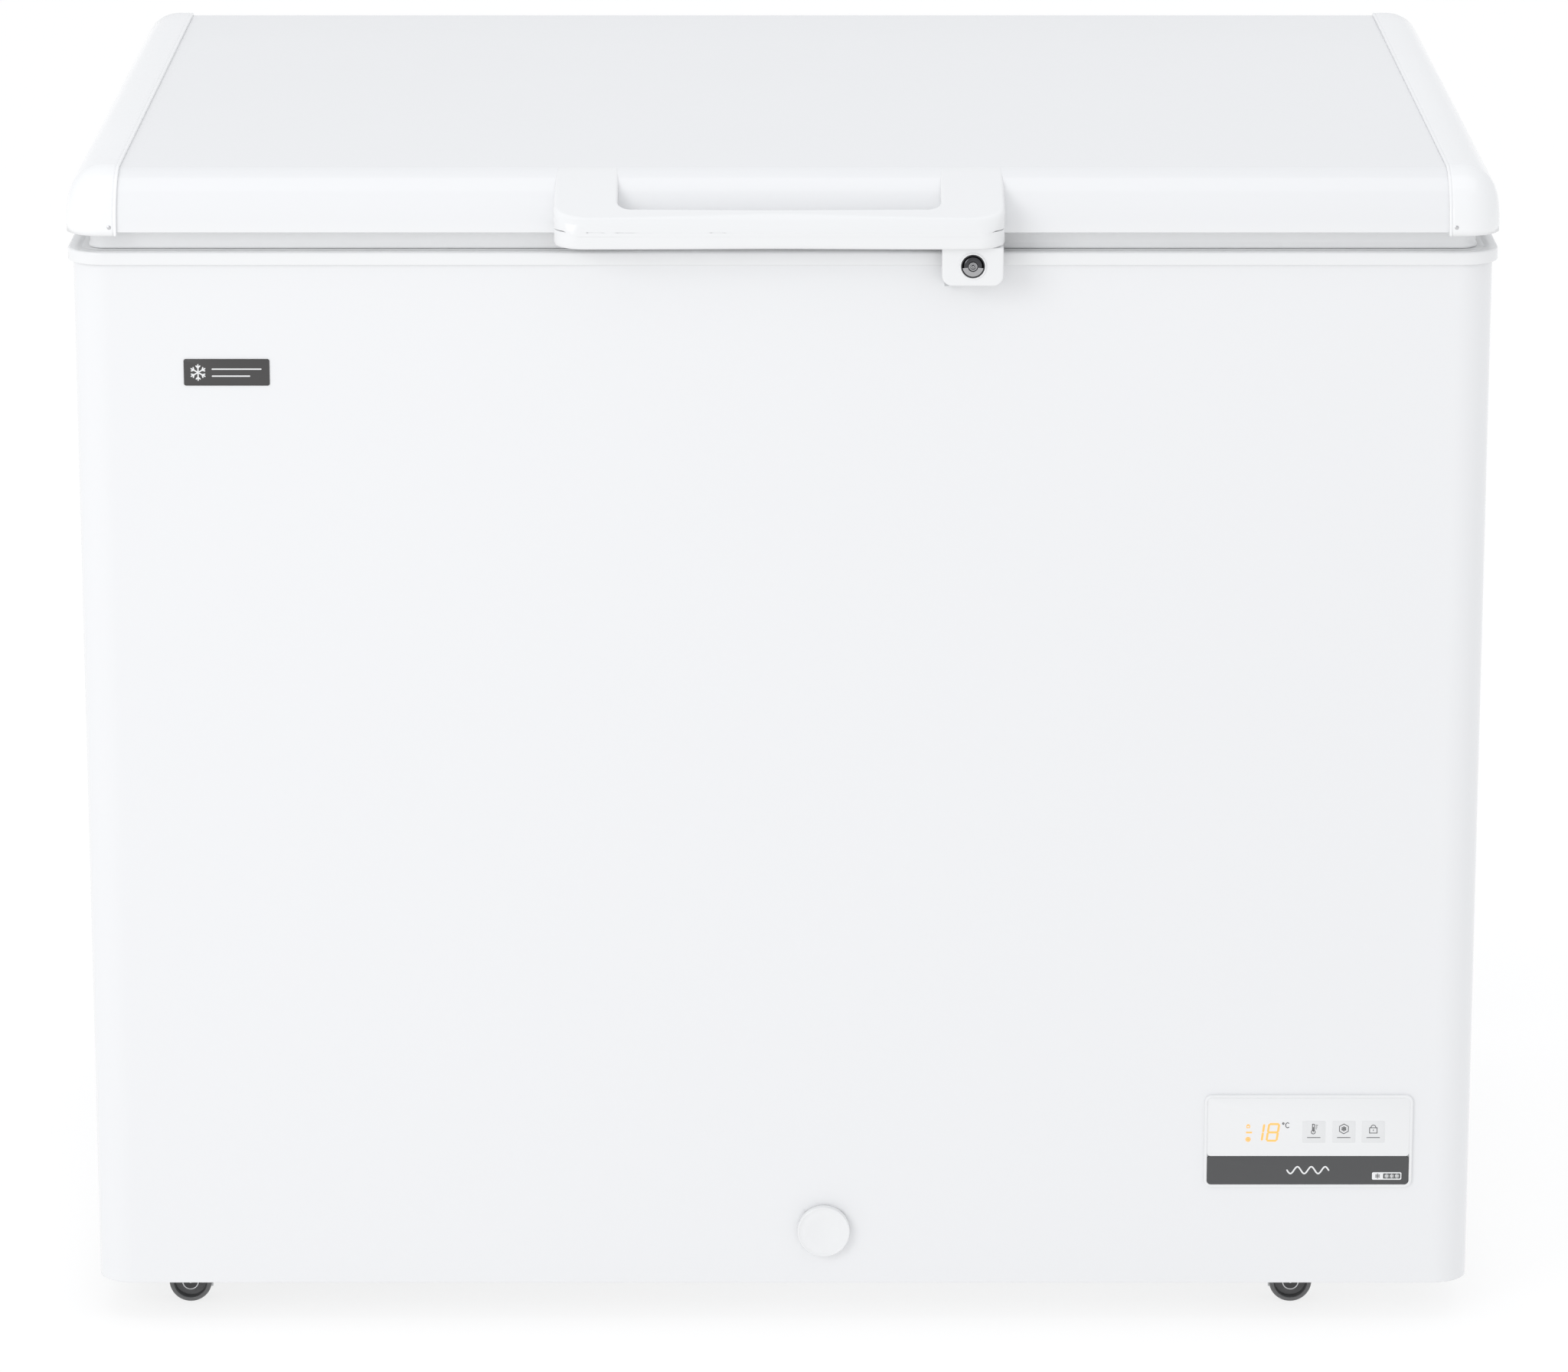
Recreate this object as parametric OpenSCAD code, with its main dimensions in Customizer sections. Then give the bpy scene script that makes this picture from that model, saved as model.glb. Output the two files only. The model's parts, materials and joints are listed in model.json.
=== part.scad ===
// Chest freezer with a hinged, counterbalanced lid, built up from its separate pieces.
// Origin: centre of the overall footprint, on the floor. Front is -Y, right is +X, up is +Z.

/* [Cabinet] */
// Width of the painted cabinet
cabinet_w = 993; // [830:1:1200]
// Depth of the painted cabinet
cabinet_d = 660; // [550:1:800]
// Height of the collar's top face above the floor
collar_top_z = 789; // [660:1:950]
// Height of the cabinet's bottom edge above the floor
skirt_z = 28; // [24:1:30]
// Radius of the cabinet's two front corners
corner_r = 26; // [18:1:32]
// Thickness of the painted steel sheet
sheet_t = 0.8; // [0.6:0.1:1.2]
// Thickness of the foam in the walls
wall_t = 64; // [50:1:80]
// Thickness of the foam under the storage floor and over the compressor bay
floor_t = 60; // [48:1:75]
// Thickness of the inner liner
liner_t = 1; // [0.8:0.1:1.5]
// Radius of the liner's upright corners
liner_r = 20; // [12:1:30]

/* [Collar] */
// Height of the collar's visible band
collar_h = 9; // [7:0.5:14]
// How far the collar stands out past the cabinet
collar_lip = 3.5; // [2.5:0.5:6]
// Thickness of the collar's top plate
collar_t = 5; // [4:0.5:6]
// Depth of the collar's throat, which covers the liner's top edge
throat_h = 16; // [8:1:24]
// Thickness of the collar's throat
throat_t = 2.3; // [1.5:0.1:4]

/* [Compressor bay] */
// Width of the bay at the right-hand end
bay_w = 252; // [220:1:300]
// Height of the bay above the base plate
bay_h = 222; // [205:1:260]
// Diameter of the compressor shell
compressor_d = 150; // [120:1:180]
// Height of the compressor shell
compressor_h = 165; // [130:1:180]

/* [Lid] */
// How far the lid stands out past the cabinet at the front and the back
lid_end_over = 6; // [4:0.5:10]
// Gap between the collar and the lid panel's bottom edge, which the gasket fills
lid_gap = 14.5; // [12:0.5:18]
// Height of the lid panel, from its bottom edge to its flat top
lid_h = 39.5; // [37:0.5:60]
// Radius of the rolled front edge
roll_r = 36; // [20:1:37]
// Radius of the rear edge
rear_roll_r = 6; // [3:0.5:12]
// Width of the plastic end caps
cap_w = 37; // [30:1:60]
// How far the end caps stand proud of the panel
cap_proud = 2; // [1:0.5:4]
// How far the end caps hang below the panel
cap_drop = 2; // [0:0.5:4]
// Radius of the end caps' outer top edge
side_roll_r = 26; // [12:1:34]
// Radius of the lid's corners, seen from above
lid_corner_r = 25; // [15:1:34]
// Thickness of the end caps' wall
cap_t = 2.5; // [2:0.1:4]
// Depth of the liner's plug below the lid's flange
plug_h = 30; // [16:1:40]
// Gap round the plug, where the basket's hooks pass
plug_gap = 14; // [10:0.5:20]

/* [Gasket] */
// Distance from the lid's edge to the gasket
gasket_inset = 15; // [10:0.5:22]
// Width of the gasket
gasket_w = 18; // [12:0.5:24]

/* [Handle and lock] */
// Width of the handle
handle_w = 312; // [240:1:400]
// Offset of the handle from the middle of the lid
handle_x = -2.5; // [-60:0.5:60]
// How far the handle stands out from the lid's front
handle_reach = 36; // [30:1:50]
// Width of each handle arm
arm_w = 44; // [36:1:60]
// Depth of the grip bar, front to back
bar_d = 15; // [12:0.5:20]
// Height of the grip bar's rear top edge above the parting line
bar_rise = 13; // [8:0.5:18]
// Height of the lower moulding
bar_drop = 12.4; // [9:0.1:16]
// Width of the lock housing
tab_w = 42.5; // [30:0.5:60]
// Height of the lock housing below the handle
tab_h = 27.1; // [24:0.1:34]
// Depth of the lock housing
tab_d = 23.5; // [18:0.5:28]
// Diameter of the lock cylinder
lock_d = 16; // [12:0.5:18]

/* [Display] */
// Width of the display bezel
display_w = 150; // [120:1:200]
// Height of the display bezel
display_h = 70; // [56:1:90]
// Distance from the cabinet's right side to the display's centre
display_inset = 118; // [100:1:160]
// Height of the display's centre above the floor
display_z = 136.4; // [110:0.1:180]

/* [Drain] */
// Distance of the drain from the middle of the cabinet
drain_x = 29.4; // [-60:0.1:80]
// Height of the drain's centre above the floor
drain_z = 69; // [62:1:90]
// Diameter of the front drain cap
drain_cap_d = 38; // [30:1:46]
// Bore of the drain tube
drain_bore = 16; // [12:0.5:20]

/* [Castors] */
// Diameter of a castor wheel
wheel_d = 31; // [26:1:36]
// Width of a castor wheel
wheel_w = 18; // [14:1:26]
// Distance from the cabinet's left side to the left castors
castor_left = 64; // [50:1:160]
// Distance from the cabinet's right side to the right castors
castor_right = 126; // [60:1:200]
// How far the front castors stand behind the cabinet's front
castor_back = 36; // [24:1:80]

/* [Hinges] */
// Distance of each hinge from the middle of the cabinet
hinge_x = 330; // [200:1:380]
// Distance of the hinge pins behind the cabinet's back
hinge_back = 22; // [18:1:28]
// Height of the hinge pins above the collar
hinge_rise = 6; // [4:0.5:8]
// Diameter of the hinge pins
hinge_pin_d = 8; // [6:0.5:10]

/* [Basket] */
// Width of the basket
basket_w = 220; // [160:1:280]
// Height of the basket
basket_h = 205; // [120:1:260]
// Gap between the basket and the store's left wall
basket_gap = 20.5; // [12:0.5:60]
// Diameter of the basket's wires
wire_d = 4.4; // [3:0.2:5]
// Largest spacing of the basket's wires
wire_pitch = 44; // [30:1:60]

/* [Clearances] */
// Gap left between a shell and the foam or liner inside it
skin_gap = 0.2; // [0.1:0.05:0.4]
// Gap left between soft or loose pieces and what they rest on
rest_gap = 0.3; // [0.2:0.05:0.5]
// Radial running clearance of a turning pin
run_gap = 0.05; // [0.02:0.01:0.1]

/* [Hidden] */
$fn = 48;
eps = 1;

// Cabinet faces
half_w = cabinet_w / 2;
front_y = -cabinet_d / 2;
rear_y = cabinet_d / 2;
wrap_top = collar_top_z - collar_t;
collar_z0 = collar_top_z - collar_h;
inner_half_w = half_w - sheet_t;
foam_half_w = inner_half_w - skin_gap;
foam_y0 = front_y + sheet_t + skin_gap;
foam_y1 = rear_y - sheet_t;

// Base: rails, then the base plate, then foam
rail_z0 = max(skirt_z + 6, wheel_d + 4);
rail_h = 12;
rail_w = 60;
rail_t = 1.5;
plate_z0 = rail_z0 + rail_h;
plate_t = 1;
foam_z0 = plate_z0 + plate_t;
floor_z = foam_z0 + floor_t;

// Storage space and compressor bay
store_w = cabinet_w - 2 * (sheet_t + wall_t);
store_d = cabinet_d - 2 * (sheet_t + wall_t);
liner_w = store_w - 2 * skin_gap;
liner_d = store_d - 2 * skin_gap;
bay_x0 = inner_half_w - bay_w;
bay_top = foam_z0 + bay_h;
step_x = bay_x0 - floor_t;
step_z = bay_top + floor_t;
low_w = step_x + store_w / 2;
low_x = (step_x - store_w / 2) / 2;
mouth_w = liner_w - 2 * (liner_t + skin_gap + throat_t);
mouth_d = liner_d - 2 * (liner_t + skin_gap + throat_t);
mouth_r = liner_r - liner_t - throat_t;

// Tubing
coil_d = 8;
coil_turns = 7;
condenser_d = 5;
condenser_runs = 6;
pipe_d = 6;

// Lid
lid_half_w = half_w + collar_lip;
lid_y0 = front_y - lid_end_over;
lid_y1 = rear_y + lid_end_over;
panel_z0 = collar_top_z + lid_gap;
panel_top = panel_z0 + lid_h;
cap_z0 = panel_z0 - cap_drop;
cap_top = panel_top + cap_proud;
cap_tuck = 8;
panel_half_w = lid_half_w - cap_w + cap_tuck;
hem = 10;
flange_t = 1.4;
flange_z1 = panel_z0 + sheet_t + 0.3;
flange_z0 = flange_z1 - flange_t;
plug_z0 = flange_z0 - plug_h;
plug_w = mouth_w - 2 * plug_gap;
plug_d = mouth_d - 2 * plug_gap;
plug_t = 1.5;
gasket_z0 = collar_top_z + rest_gap;
gasket_r = 12;

// Handle and lock
handle_y0 = lid_y0 - handle_reach;
handle_top_y = lid_y0 + roll_r;
part_z = panel_top - roll_r + 4;
handle_z0 = part_z - bar_drop;
nose_r = bar_rise;
lip_r = 5;
handle_corner_r = 18;
grip_corner_r = 12;
roll_z = panel_top - roll_r;
foam_end = 16;
lock_x = handle_x + handle_w / 2 - arm_w / 2;
lock_r = lock_d / 2;
tab_y0 = handle_y0 + 8;
tab_y1 = tab_y0 + tab_d;
tab_z0 = handle_z0 - tab_h;
lock_z = handle_z0 - 13.1;
cam_t = 3;
cam_y0 = tab_y1 + rest_gap;
spindle_r = 3;
tongue_len = 12;
tongue_w = 4;
finger_x = -8;
finger_z0 = 2.8;
finger_h = 2.7;
post_x = -16;
post_t = 3;

// Display
display_x = half_w - display_inset;
display_t = 2;
tray_w = display_w - 10;
tray_h = display_h - 10;
tray_d = 16;
window_w = display_w - 8;
window_h = display_h - 8;
strip_h = 22;

// Castors
wheel_r = wheel_d / 2;
axle_r = 4;
castor_y0 = -(cabinet_d / 2 - castor_back);
castor_xs = [-half_w + castor_left, half_w - castor_right];
hub_depth = 3.5;
bolt_head_t = 2.9;
leg_t = 3;

// Hinges
pin_r = hinge_pin_d / 2;
pin_y = rear_y + hinge_back;
pin_z = collar_top_z + hinge_rise;
cheek_x = 14;
cheek_t = 2.5;
hinge_plate_t = 2.5;
hinge_plate_top = collar_z0 - rest_gap;
cheek_r = pin_r + 5;
web_x = 10;
web_t = 2.5;
web_r = pin_r + 4;
spring_half_w = 8.5;
spring_wire = 2.4;
cover_reach = handle_reach + lid_end_over;
cover_half_w = 30;
cover_t = 2;
cover_z1 = collar_z0 - 2;
cover_z0 = cover_z1 - 123;

// Basket
basket_x = -liner_w / 2 + liner_t + basket_gap + basket_w / 2;
wire_r = wire_d / 2;
rim_z = plug_z0 - 10;
basket_z0 = rim_z - basket_h;
hook_y = mouth_d / 2 - plug_gap / 2;
basket_y = hook_y - 2.5;
hook_x = 70;
sleeve_r = 4.3;
grip_y = hook_y + 29.5;
grip_z = collar_top_z + skin_gap + sleeve_r;

// Extrudes the outline of its children along one axis between two places on it
module along_x(x0, x1) translate([x0, 0, 0]) rotate([90, 0, 90]) linear_extrude(x1 - x0) children();
module along_y(y0, y1) translate([0, y1, 0]) rotate([90, 0, 0]) linear_extrude(y1 - y0) children();
module along_z(z0, z1) translate([0, 0, z0]) linear_extrude(z1 - z0) children();

// Round bars along each axis
module rod_x(x0, x1, y, z, r) translate([x0, y, z]) rotate([0, 90, 0]) cylinder(h = x1 - x0, r = r);
module rod_y(y0, y1, x, z, r) translate([x, y1, z]) rotate([90, 0, 0]) cylinder(h = y1 - y0, r = r);
module rod_z(z0, z1, x, y, r) translate([x, y, z0]) cylinder(h = z1 - z0, r = r);

// A box between two corners
module block(a, b) translate(a) cube(b - a);

// Rounded rectangle about the origin
module round_rect(w, d, r) {
    square([w - 2 * r, d], center = true);
    square([w, d - 2 * r], center = true);
    for (x = [-1, 1], y = [-1, 1]) translate([x * (w / 2 - r), y * (d / 2 - r)]) circle(r);
}

// Footprint between y0 and y1 with front corners of radius rf and rear corners of radius rr
module footprint(hw, y0, y1, rf, rr) {
    translate([-hw + rr, y0 + rf]) square([2 * (hw - rr), y1 - y0 - rf]);
    translate([-hw + rf, y0]) square([2 * (hw - rf), y1 - y0 - rr]);
    translate([-hw, y0 + rf]) square([2 * hw, y1 - y0 - rf - rr]);
    for (s = [-1, 1]) {
        translate([s * (hw - rf), y0 + rf]) circle(rf);
        if (rr > 0) translate([s * (hw - rr), y1 - rr]) circle(rr);
    }
}

// Outline with a flat bottom and its two top corners rounded by r0 and r1
module hood(u0, u1, v0, v1, r0, r1) intersection() {
    translate([u0, v0]) square([u1 - u0, v1 - v0]);
    union() {
        translate([u0 + r0, v0]) square([u1 - u0 - r0 - r1, v1 - v0]);
        translate([u0, v0]) square([r0 + eps, v1 - v0 - r0]);
        translate([u1 - r1 - eps, v0]) square([r1 + eps, v1 - v0 - r1]);
        translate([u0 + r0, v1 - r0]) circle(r0);
        translate([u1 - r1, v1 - r1]) circle(r1);
    }
}

// One turn of tube round a rectangle, with bent corners of radius r
module tube_ring(w, d, z, r, t) {
    for (s = [-1, 1]) {
        rod_x(-w / 2 + r, w / 2 - r, s * d / 2, z, t / 2);
        rod_y(-d / 2 + r, d / 2 - r, s * w / 2, z, t / 2);
    }
    for (k = [0 : 3]) rotate([0, 0, 90 * k])
        translate([(k % 2 == 0 ? w : d) / 2 - r, (k % 2 == 0 ? d : w) / 2 - r, z])
            rotate_extrude(angle = 90) translate([r, 0]) circle(d = t);
}

// Pipe through a list of points, with a rounded joint at each bend
module pipe(points, d) {
    for (i = [1 : len(points) - 1]) {
        run = points[i] - points[i - 1];
        translate(points[i - 1])
            rotate([0, acos(run[2] / norm(run)), atan2(run[1], run[0])])
                cylinder(h = norm(run), d = d);
    }
    for (i = [1 : 1 : len(points) - 2]) translate(points[i]) sphere(d = d + 1);
}

// Painted steel wrap: front and both sides in one sheet, open at the back
module outer_wrap() color("white") difference() {
    along_z(skirt_z, wrap_top) difference() {
        footprint(half_w, front_y, rear_y, corner_r, 0);
        footprint(inner_half_w, front_y + sheet_t, rear_y + eps, corner_r - sheet_t, 0);
    }
    along_y(front_y - eps, front_y + sheet_t + eps) translate([display_x, display_z])
        round_rect(tray_w + 1, tray_h + 1, 4);
    rod_y(front_y - eps, front_y + sheet_t + eps, drain_x, drain_z, drain_bore / 2 + 2.5);
}

grille_x0 = bay_x0 + 12;
grille_x1 = inner_half_w - 12;
grille_z0 = foam_z0 + 6;
grille_z1 = bay_top - 8;

// Flat steel back, open behind the compressor bay
module back_panel() color("gainsboro") along_y(rear_y - sheet_t, rear_y) difference() {
    translate([-inner_half_w, skirt_z]) square([2 * inner_half_w, wrap_top - skirt_z]);
    translate([grille_x0, grille_z0]) square([grille_x1 - grille_x0, grille_z1 - grille_z0]);
}

// Galvanised base plate that carries the foam and the compressor
module base_plate() color("silver") along_z(plate_z0, foam_z0)
    footprint(foam_half_w, foam_y0, foam_y1, corner_r - sheet_t - skin_gap, 0);

// Two channel rails across the bottom, over the castors
module base_rails() color("darkgray") for (x = castor_xs) difference() {
    block([x - rail_w / 2, castor_y0 - 12, rail_z0], [x + rail_w / 2, -castor_y0 + 12, plate_z0]);
    block([x - rail_w / 2 + rail_t, castor_y0 - 12 - eps, rail_z0 + rail_t],
          [x + rail_w / 2 - rail_t, -castor_y0 + 12 + eps, plate_z0 + eps]);
}

// Height of evaporator turn i: the upper turns go round the whole store, the rest below the step
function coil_z(i) = step_z + 60 + i * (wrap_top - step_z - 150) / (coil_turns - 1);
// Height of condenser run i
function run_z(i) = bay_top + 70 + i * (wrap_top - bay_top - 140) / (condenser_runs - 1);
groove = coil_d + 1;
run_groove = condenser_d + 1;

// Foamed-in-place insulation: walls, floor and the step over the compressor bay
module cabinet_foam() color("khaki") difference() {
    along_z(foam_z0, wrap_top)
        footprint(foam_half_w, foam_y0, foam_y1, corner_r - sheet_t - skin_gap, 0);
    along_z(step_z, wrap_top + eps) round_rect(store_w, store_d, liner_r + skin_gap);
    translate([low_x, 0, 0]) along_z(floor_z, step_z + eps)
        round_rect(low_w, store_d, liner_r + skin_gap);
    block([bay_x0, foam_y0 - eps, foam_z0 - eps], [half_w, foam_y1 + eps, bay_top]);
    for (i = [0 : coil_turns - 1])
        along_z(coil_z(i) - groove / 2, coil_z(i) + groove / 2)
            round_rect(store_w + 2 * groove, store_d + 2 * groove, liner_r + groove);
    for (i = [0 : condenser_runs - 1])
        along_z(run_z(i) - run_groove / 2, run_z(i) + run_groove / 2) difference() {
            footprint(half_w, front_y - eps, foam_y1 - 40, corner_r, 0);
            footprint(foam_half_w - run_groove, foam_y0 + run_groove, rear_y + eps,
                      corner_r - run_groove, 0);
        }
    rod_y(foam_y0 - eps, drain_y, drain_x, drain_z, drain_bore / 2 + 2 + skin_gap);
    rod_z(drain_z, floor_z + eps, drain_x, drain_y, drain_bore / 2 + 2 + skin_gap);
    translate([drain_x, drain_y, drain_z]) sphere(r = drain_bore / 2 + 2 + skin_gap);
}
drain_y = front_y + wall_t + 66;

// Aluminium inner liner with the step over the compressor bay
module inner_liner() color("whitesmoke") difference() {
    union() {
        along_z(step_z, wrap_top) round_rect(liner_w, liner_d, liner_r);
        translate([low_x, 0, 0]) along_z(floor_z, step_z + liner_t)
            round_rect(low_w - 2 * skin_gap, liner_d, liner_r);
    }
    along_z(step_z + liner_t, wrap_top + eps)
        round_rect(liner_w - 2 * liner_t, liner_d - 2 * liner_t, liner_r - liner_t);
    translate([low_x, 0, 0]) along_z(floor_z + liner_t, step_z + liner_t + eps)
        round_rect(low_w - 2 * skin_gap - 2 * liner_t, liner_d - 2 * liner_t, liner_r - liner_t);
    rod_z(floor_z - eps, floor_z + liner_t + eps, drain_x, drain_y, drain_bore / 2 + 0.5);
}

// Plastic collar that caps the wrap, the foam and the liner
module top_collar() color("white") difference() {
    union() {
        along_z(collar_z0, collar_top_z) footprint(half_w + collar_lip, front_y - collar_lip,
            rear_y + collar_lip, corner_r + 1, 8);
        along_z(wrap_top - throat_h, wrap_top + eps)
            round_rect(mouth_w + 2 * throat_t, mouth_d + 2 * throat_t, mouth_r + throat_t);
    }
    along_z(collar_z0 - eps, wrap_top) difference() {
        footprint(half_w + skin_gap, front_y - skin_gap, rear_y + skin_gap, corner_r, 0);
        round_rect(mouth_w + 2 * throat_t, mouth_d + 2 * throat_t, mouth_r + throat_t);
    }
    along_z(wrap_top - throat_h - eps, collar_top_z + eps) round_rect(mouth_w, mouth_d, mouth_r);
}

// Evaporator tube wound round the liner
module evaporator_coil() color("silver") for (i = [0 : coil_turns - 1])
    tube_ring(store_w + groove, store_d + groove, coil_z(i), liner_r + groove / 2, coil_d);

// Condenser tube bonded behind the wrap, in runs joined at the back
module condenser_coil() color("dimgray") {
    x = foam_half_w - run_groove / 2;
    y0 = foam_y0 + run_groove / 2;
    y1 = foam_y1 - 44;
    r = corner_r - sheet_t - skin_gap - run_groove / 2;
    for (i = [0 : condenser_runs - 1]) {
        rod_x(-x + r, x - r, y0, run_z(i), condenser_d / 2);
        for (s = [-1, 1]) {
            rod_y(y0 + r, y1, s * x, run_z(i), condenser_d / 2);
            translate([s * (x - r), y0 + r, run_z(i)]) rotate([0, 0, s > 0 ? 270 : 180])
                rotate_extrude(angle = 90) translate([r, 0]) circle(d = condenser_d);
        }
    }
}

comp_x = (bay_x0 + inner_half_w) / 2;
comp_y = rear_y - compressor_d / 2 - 84;
grommet_h = 14;
comp_base_t = 3;
comp_z0 = foam_z0 + grommet_h + comp_base_t;
comp_r = compressor_d / 2;

// Welded compressor shell with its seam
module compressor_shell() color("black") translate([comp_x, comp_y, comp_z0]) rotate_extrude() {
    square([comp_r - 34, compressor_h]);
    translate([0, 16]) square([comp_r, compressor_h - 50]);
    translate([comp_r - 34, compressor_h - 34]) circle(34);
    square([comp_r - 16, 20]);
    translate([comp_r - 16, 16]) circle(16);
    translate([0, compressor_h * 0.52]) square([comp_r + 3, 5]);
}

grommet_xs = [comp_x - 80, comp_x + 80];
grommet_ys = [comp_y - 52, comp_y + 52];

// Mounting plate under the compressor
module compressor_base() color("dimgray") difference() {
    translate([comp_x, comp_y, 0]) along_z(comp_z0 - comp_base_t, comp_z0) round_rect(190, 134, 12);
    for (x = grommet_xs, y = grommet_ys)
        rod_z(comp_z0 - comp_base_t - eps, comp_z0 + eps, x, y, 6);
}

// Rubber grommets that carry the mounting plate
module compressor_grommets() color("dimgray") for (x = grommet_xs, y = grommet_ys) {
    rod_z(foam_z0, foam_z0 + grommet_h, x, y, 12);
    rod_z(foam_z0 + grommet_h - eps, comp_z0 + 6, x, y, 5.8);
    rod_z(comp_z0 + skin_gap, comp_z0 + 6, x, y, 9);
}

// Cover over the compressor's terminals and start device
module terminal_cover() color("dimgray")
    block([comp_x - 28, comp_y - comp_r - 30, comp_z0 + 40], [comp_x + 28, comp_y - comp_r, comp_z0 + 95]);

drier_x = bay_x0 + 24;
drier_y = comp_y - 150;

// Copper filter drier
module filter_drier() color("peru") translate([drier_x, drier_y, foam_z0 + 70]) {
    cylinder(h = 90, d = 20);
    translate([0, 0, 90]) cylinder(h = 12, d1 = 20, d2 = pipe_d);
    translate([0, 0, -12]) cylinder(h = 12, d1 = 3, d2 = 20);
}

// Tube from the compressor to the condenser
module discharge_line() color("peru") pipe([
    [comp_x + 50, comp_y - 55, comp_z0 + 100],
    [comp_x + 50, comp_y - 110, comp_z0 + 100],
    [comp_x + 90, comp_y - 110, comp_z0 + 100],
    [comp_x + 90, comp_y - 110, bay_top]], pipe_d);

// Tube from the evaporator back to the compressor
module suction_line() color("peru") pipe([
    [comp_x - 50, comp_y - 55, comp_z0 + 100],
    [comp_x - 50, comp_y - 120, comp_z0 + 100],
    [comp_x - 50, comp_y - 120, comp_z0 + 130],
    [bay_x0, comp_y - 120, comp_z0 + 130]], pipe_d + 2);

// Fine tube from the drier into the foam, and the liquid line above the drier
module capillary_tube() color("peru") {
    pipe([[drier_x, drier_y, foam_z0 + 58], [drier_x, drier_y, foam_z0 + 40],
          [bay_x0, drier_y, foam_z0 + 40]], 3);
    rod_z(foam_z0 + 172, bay_top, drier_x, drier_y, pipe_d / 2);
}

box_y0 = front_y + 110;
box_y1 = box_y0 + 120;

// Housing of the compressor's inverter board, on the bay's inner wall
module control_box() color("whitesmoke")
    block([bay_x0, box_y0, display_z - 36], [bay_x0 + 46, box_y1, display_z + 54]);

// Wires from the control box to the display board
module wiring_loom() color("gray") pipe([
    [bay_x0 + 30, box_y0, display_z],
    [bay_x0 + 30, front_y + 40, display_z],
    [display_x, front_y + 40, display_z],
    [display_x, front_y + tray_d, display_z]], 6);

slot_rows = 13;
slot_pitch = (grille_z1 - grille_z0 - 30) / (slot_rows - 1);

// Louvred cover behind the compressor bay
module rear_grille() color("dimgray") along_y(rear_y, rear_y + 2) difference() {
    translate([grille_x0 - 8, grille_z0 - 4])
        square([grille_x1 - grille_x0 + 16, grille_z1 - grille_z0 + 8]);
    for (i = [1 : slot_rows - 1], s = [-1, 1])
        translate([comp_x + s * 54 - 42, grille_z0 + 15 + i * slot_pitch - 3]) square([84, 6]);
    translate([grille_x0 + 24, grille_z0 + 14]) circle(6);
}

// Screws that hold the louvred cover
module grille_screws() color("silver")
    for (x = [grille_x0 - 4, grille_x1 + 4], z = [grille_z0 + 8, (grille_z0 + grille_z1) / 2, grille_z1 - 8])
        rod_y(rear_y + 2, rear_y + 4, x, z, 3.4);

// Strain relief through which a supply cord would leave
module cord_grommet() color("black") difference() {
    rod_y(rear_y + 2, rear_y + 10, grille_x0 + 24, grille_z0 + 14, 9);
    rod_y(rear_y + 2 - eps, rear_y + 10 + eps, grille_x0 + 24, grille_z0 + 14, 3.6);
}

// Display bezel, with its tray through the wrap
module display_bezel() color("white") translate([display_x, 0, display_z]) difference() {
    union() {
        along_y(front_y - display_t, front_y) round_rect(display_w, display_h, 5.5);
        along_y(front_y - eps, front_y + tray_d) round_rect(tray_w, tray_h, 3.5);
    }
    along_y(front_y - display_t - eps, front_y - display_t + 1) round_rect(window_w, window_h, 4);
    along_y(front_y + 1, front_y + tray_d - 2) round_rect(tray_w - 4, tray_h - 4, 2);
}

// Printed front window
module display_lens() color("gainsboro") translate([display_x, 0, display_z])
    along_y(front_y - display_t + skin_gap, front_y - display_t + 1) difference() {
        round_rect(window_w - 0.4, window_h - 0.4, 3.8);
        translate([0, -window_h / 2]) square([window_w + 1, 2 * strip_h], center = true);
        for (i = [0 : 2]) translate([key_x0 + i * key_pitch, key_dz])
            square([key_w + 0.6, key_w + 0.6], center = true);
    }

// Dark strip along the bottom of the window
module display_strip() color("dimgray") translate([display_x, 0, display_z])
    along_y(front_y - display_t + skin_gap, front_y - display_t + 1) intersection() {
        round_rect(window_w - 0.4, window_h - 0.4, 3.8);
        translate([0, -window_h / 2]) square([window_w + 1, 2 * strip_h - 0.6], center = true);
    }

// Circuit board behind the bezel
module display_board() color("darkgreen") translate([display_x, 0, display_z])
    along_y(front_y + 6, front_y + 7.6)
        round_rect(tray_w - 4.4, tray_h - 4.4, 2);

key_w = 16;
key_pitch = 21.4;
key_x0 = 3.4;
key_dz = 7.5;

// Three touch keys, level with the window
module touch_keys() color("lightgray") for (i = [0 : 2])
    block([display_x + key_x0 + i * key_pitch - key_w / 2, front_y - display_t, display_z + key_dz - key_w / 2],
          [display_x + key_x0 + i * key_pitch + key_w / 2, front_y - display_t + 1,
           display_z + key_dz + key_w / 2]);

// Small plain badge near the left of the front
module badge() color("gray") translate([-half_w + 107.5, 0, collar_top_z - 86])
    along_y(front_y - 0.8, front_y) round_rect(60, 19, 4);

// Drain tube from the storage floor to the front
module drain_tube() color("white") difference() {
    union() {
        rod_y(front_y, drain_y, drain_x, drain_z, drain_bore / 2 + 2);
        rod_z(drain_z, floor_z, drain_x, drain_y, drain_bore / 2 + 2);
        translate([drain_x, drain_y, drain_z]) sphere(r = drain_bore / 2 + 2);
    }
    rod_y(front_y - eps, drain_y, drain_x, drain_z, drain_bore / 2);
    rod_z(drain_z, floor_z + eps, drain_x, drain_y, drain_bore / 2);
    translate([drain_x, drain_y, drain_z]) sphere(r = drain_bore / 2);
}

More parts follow.
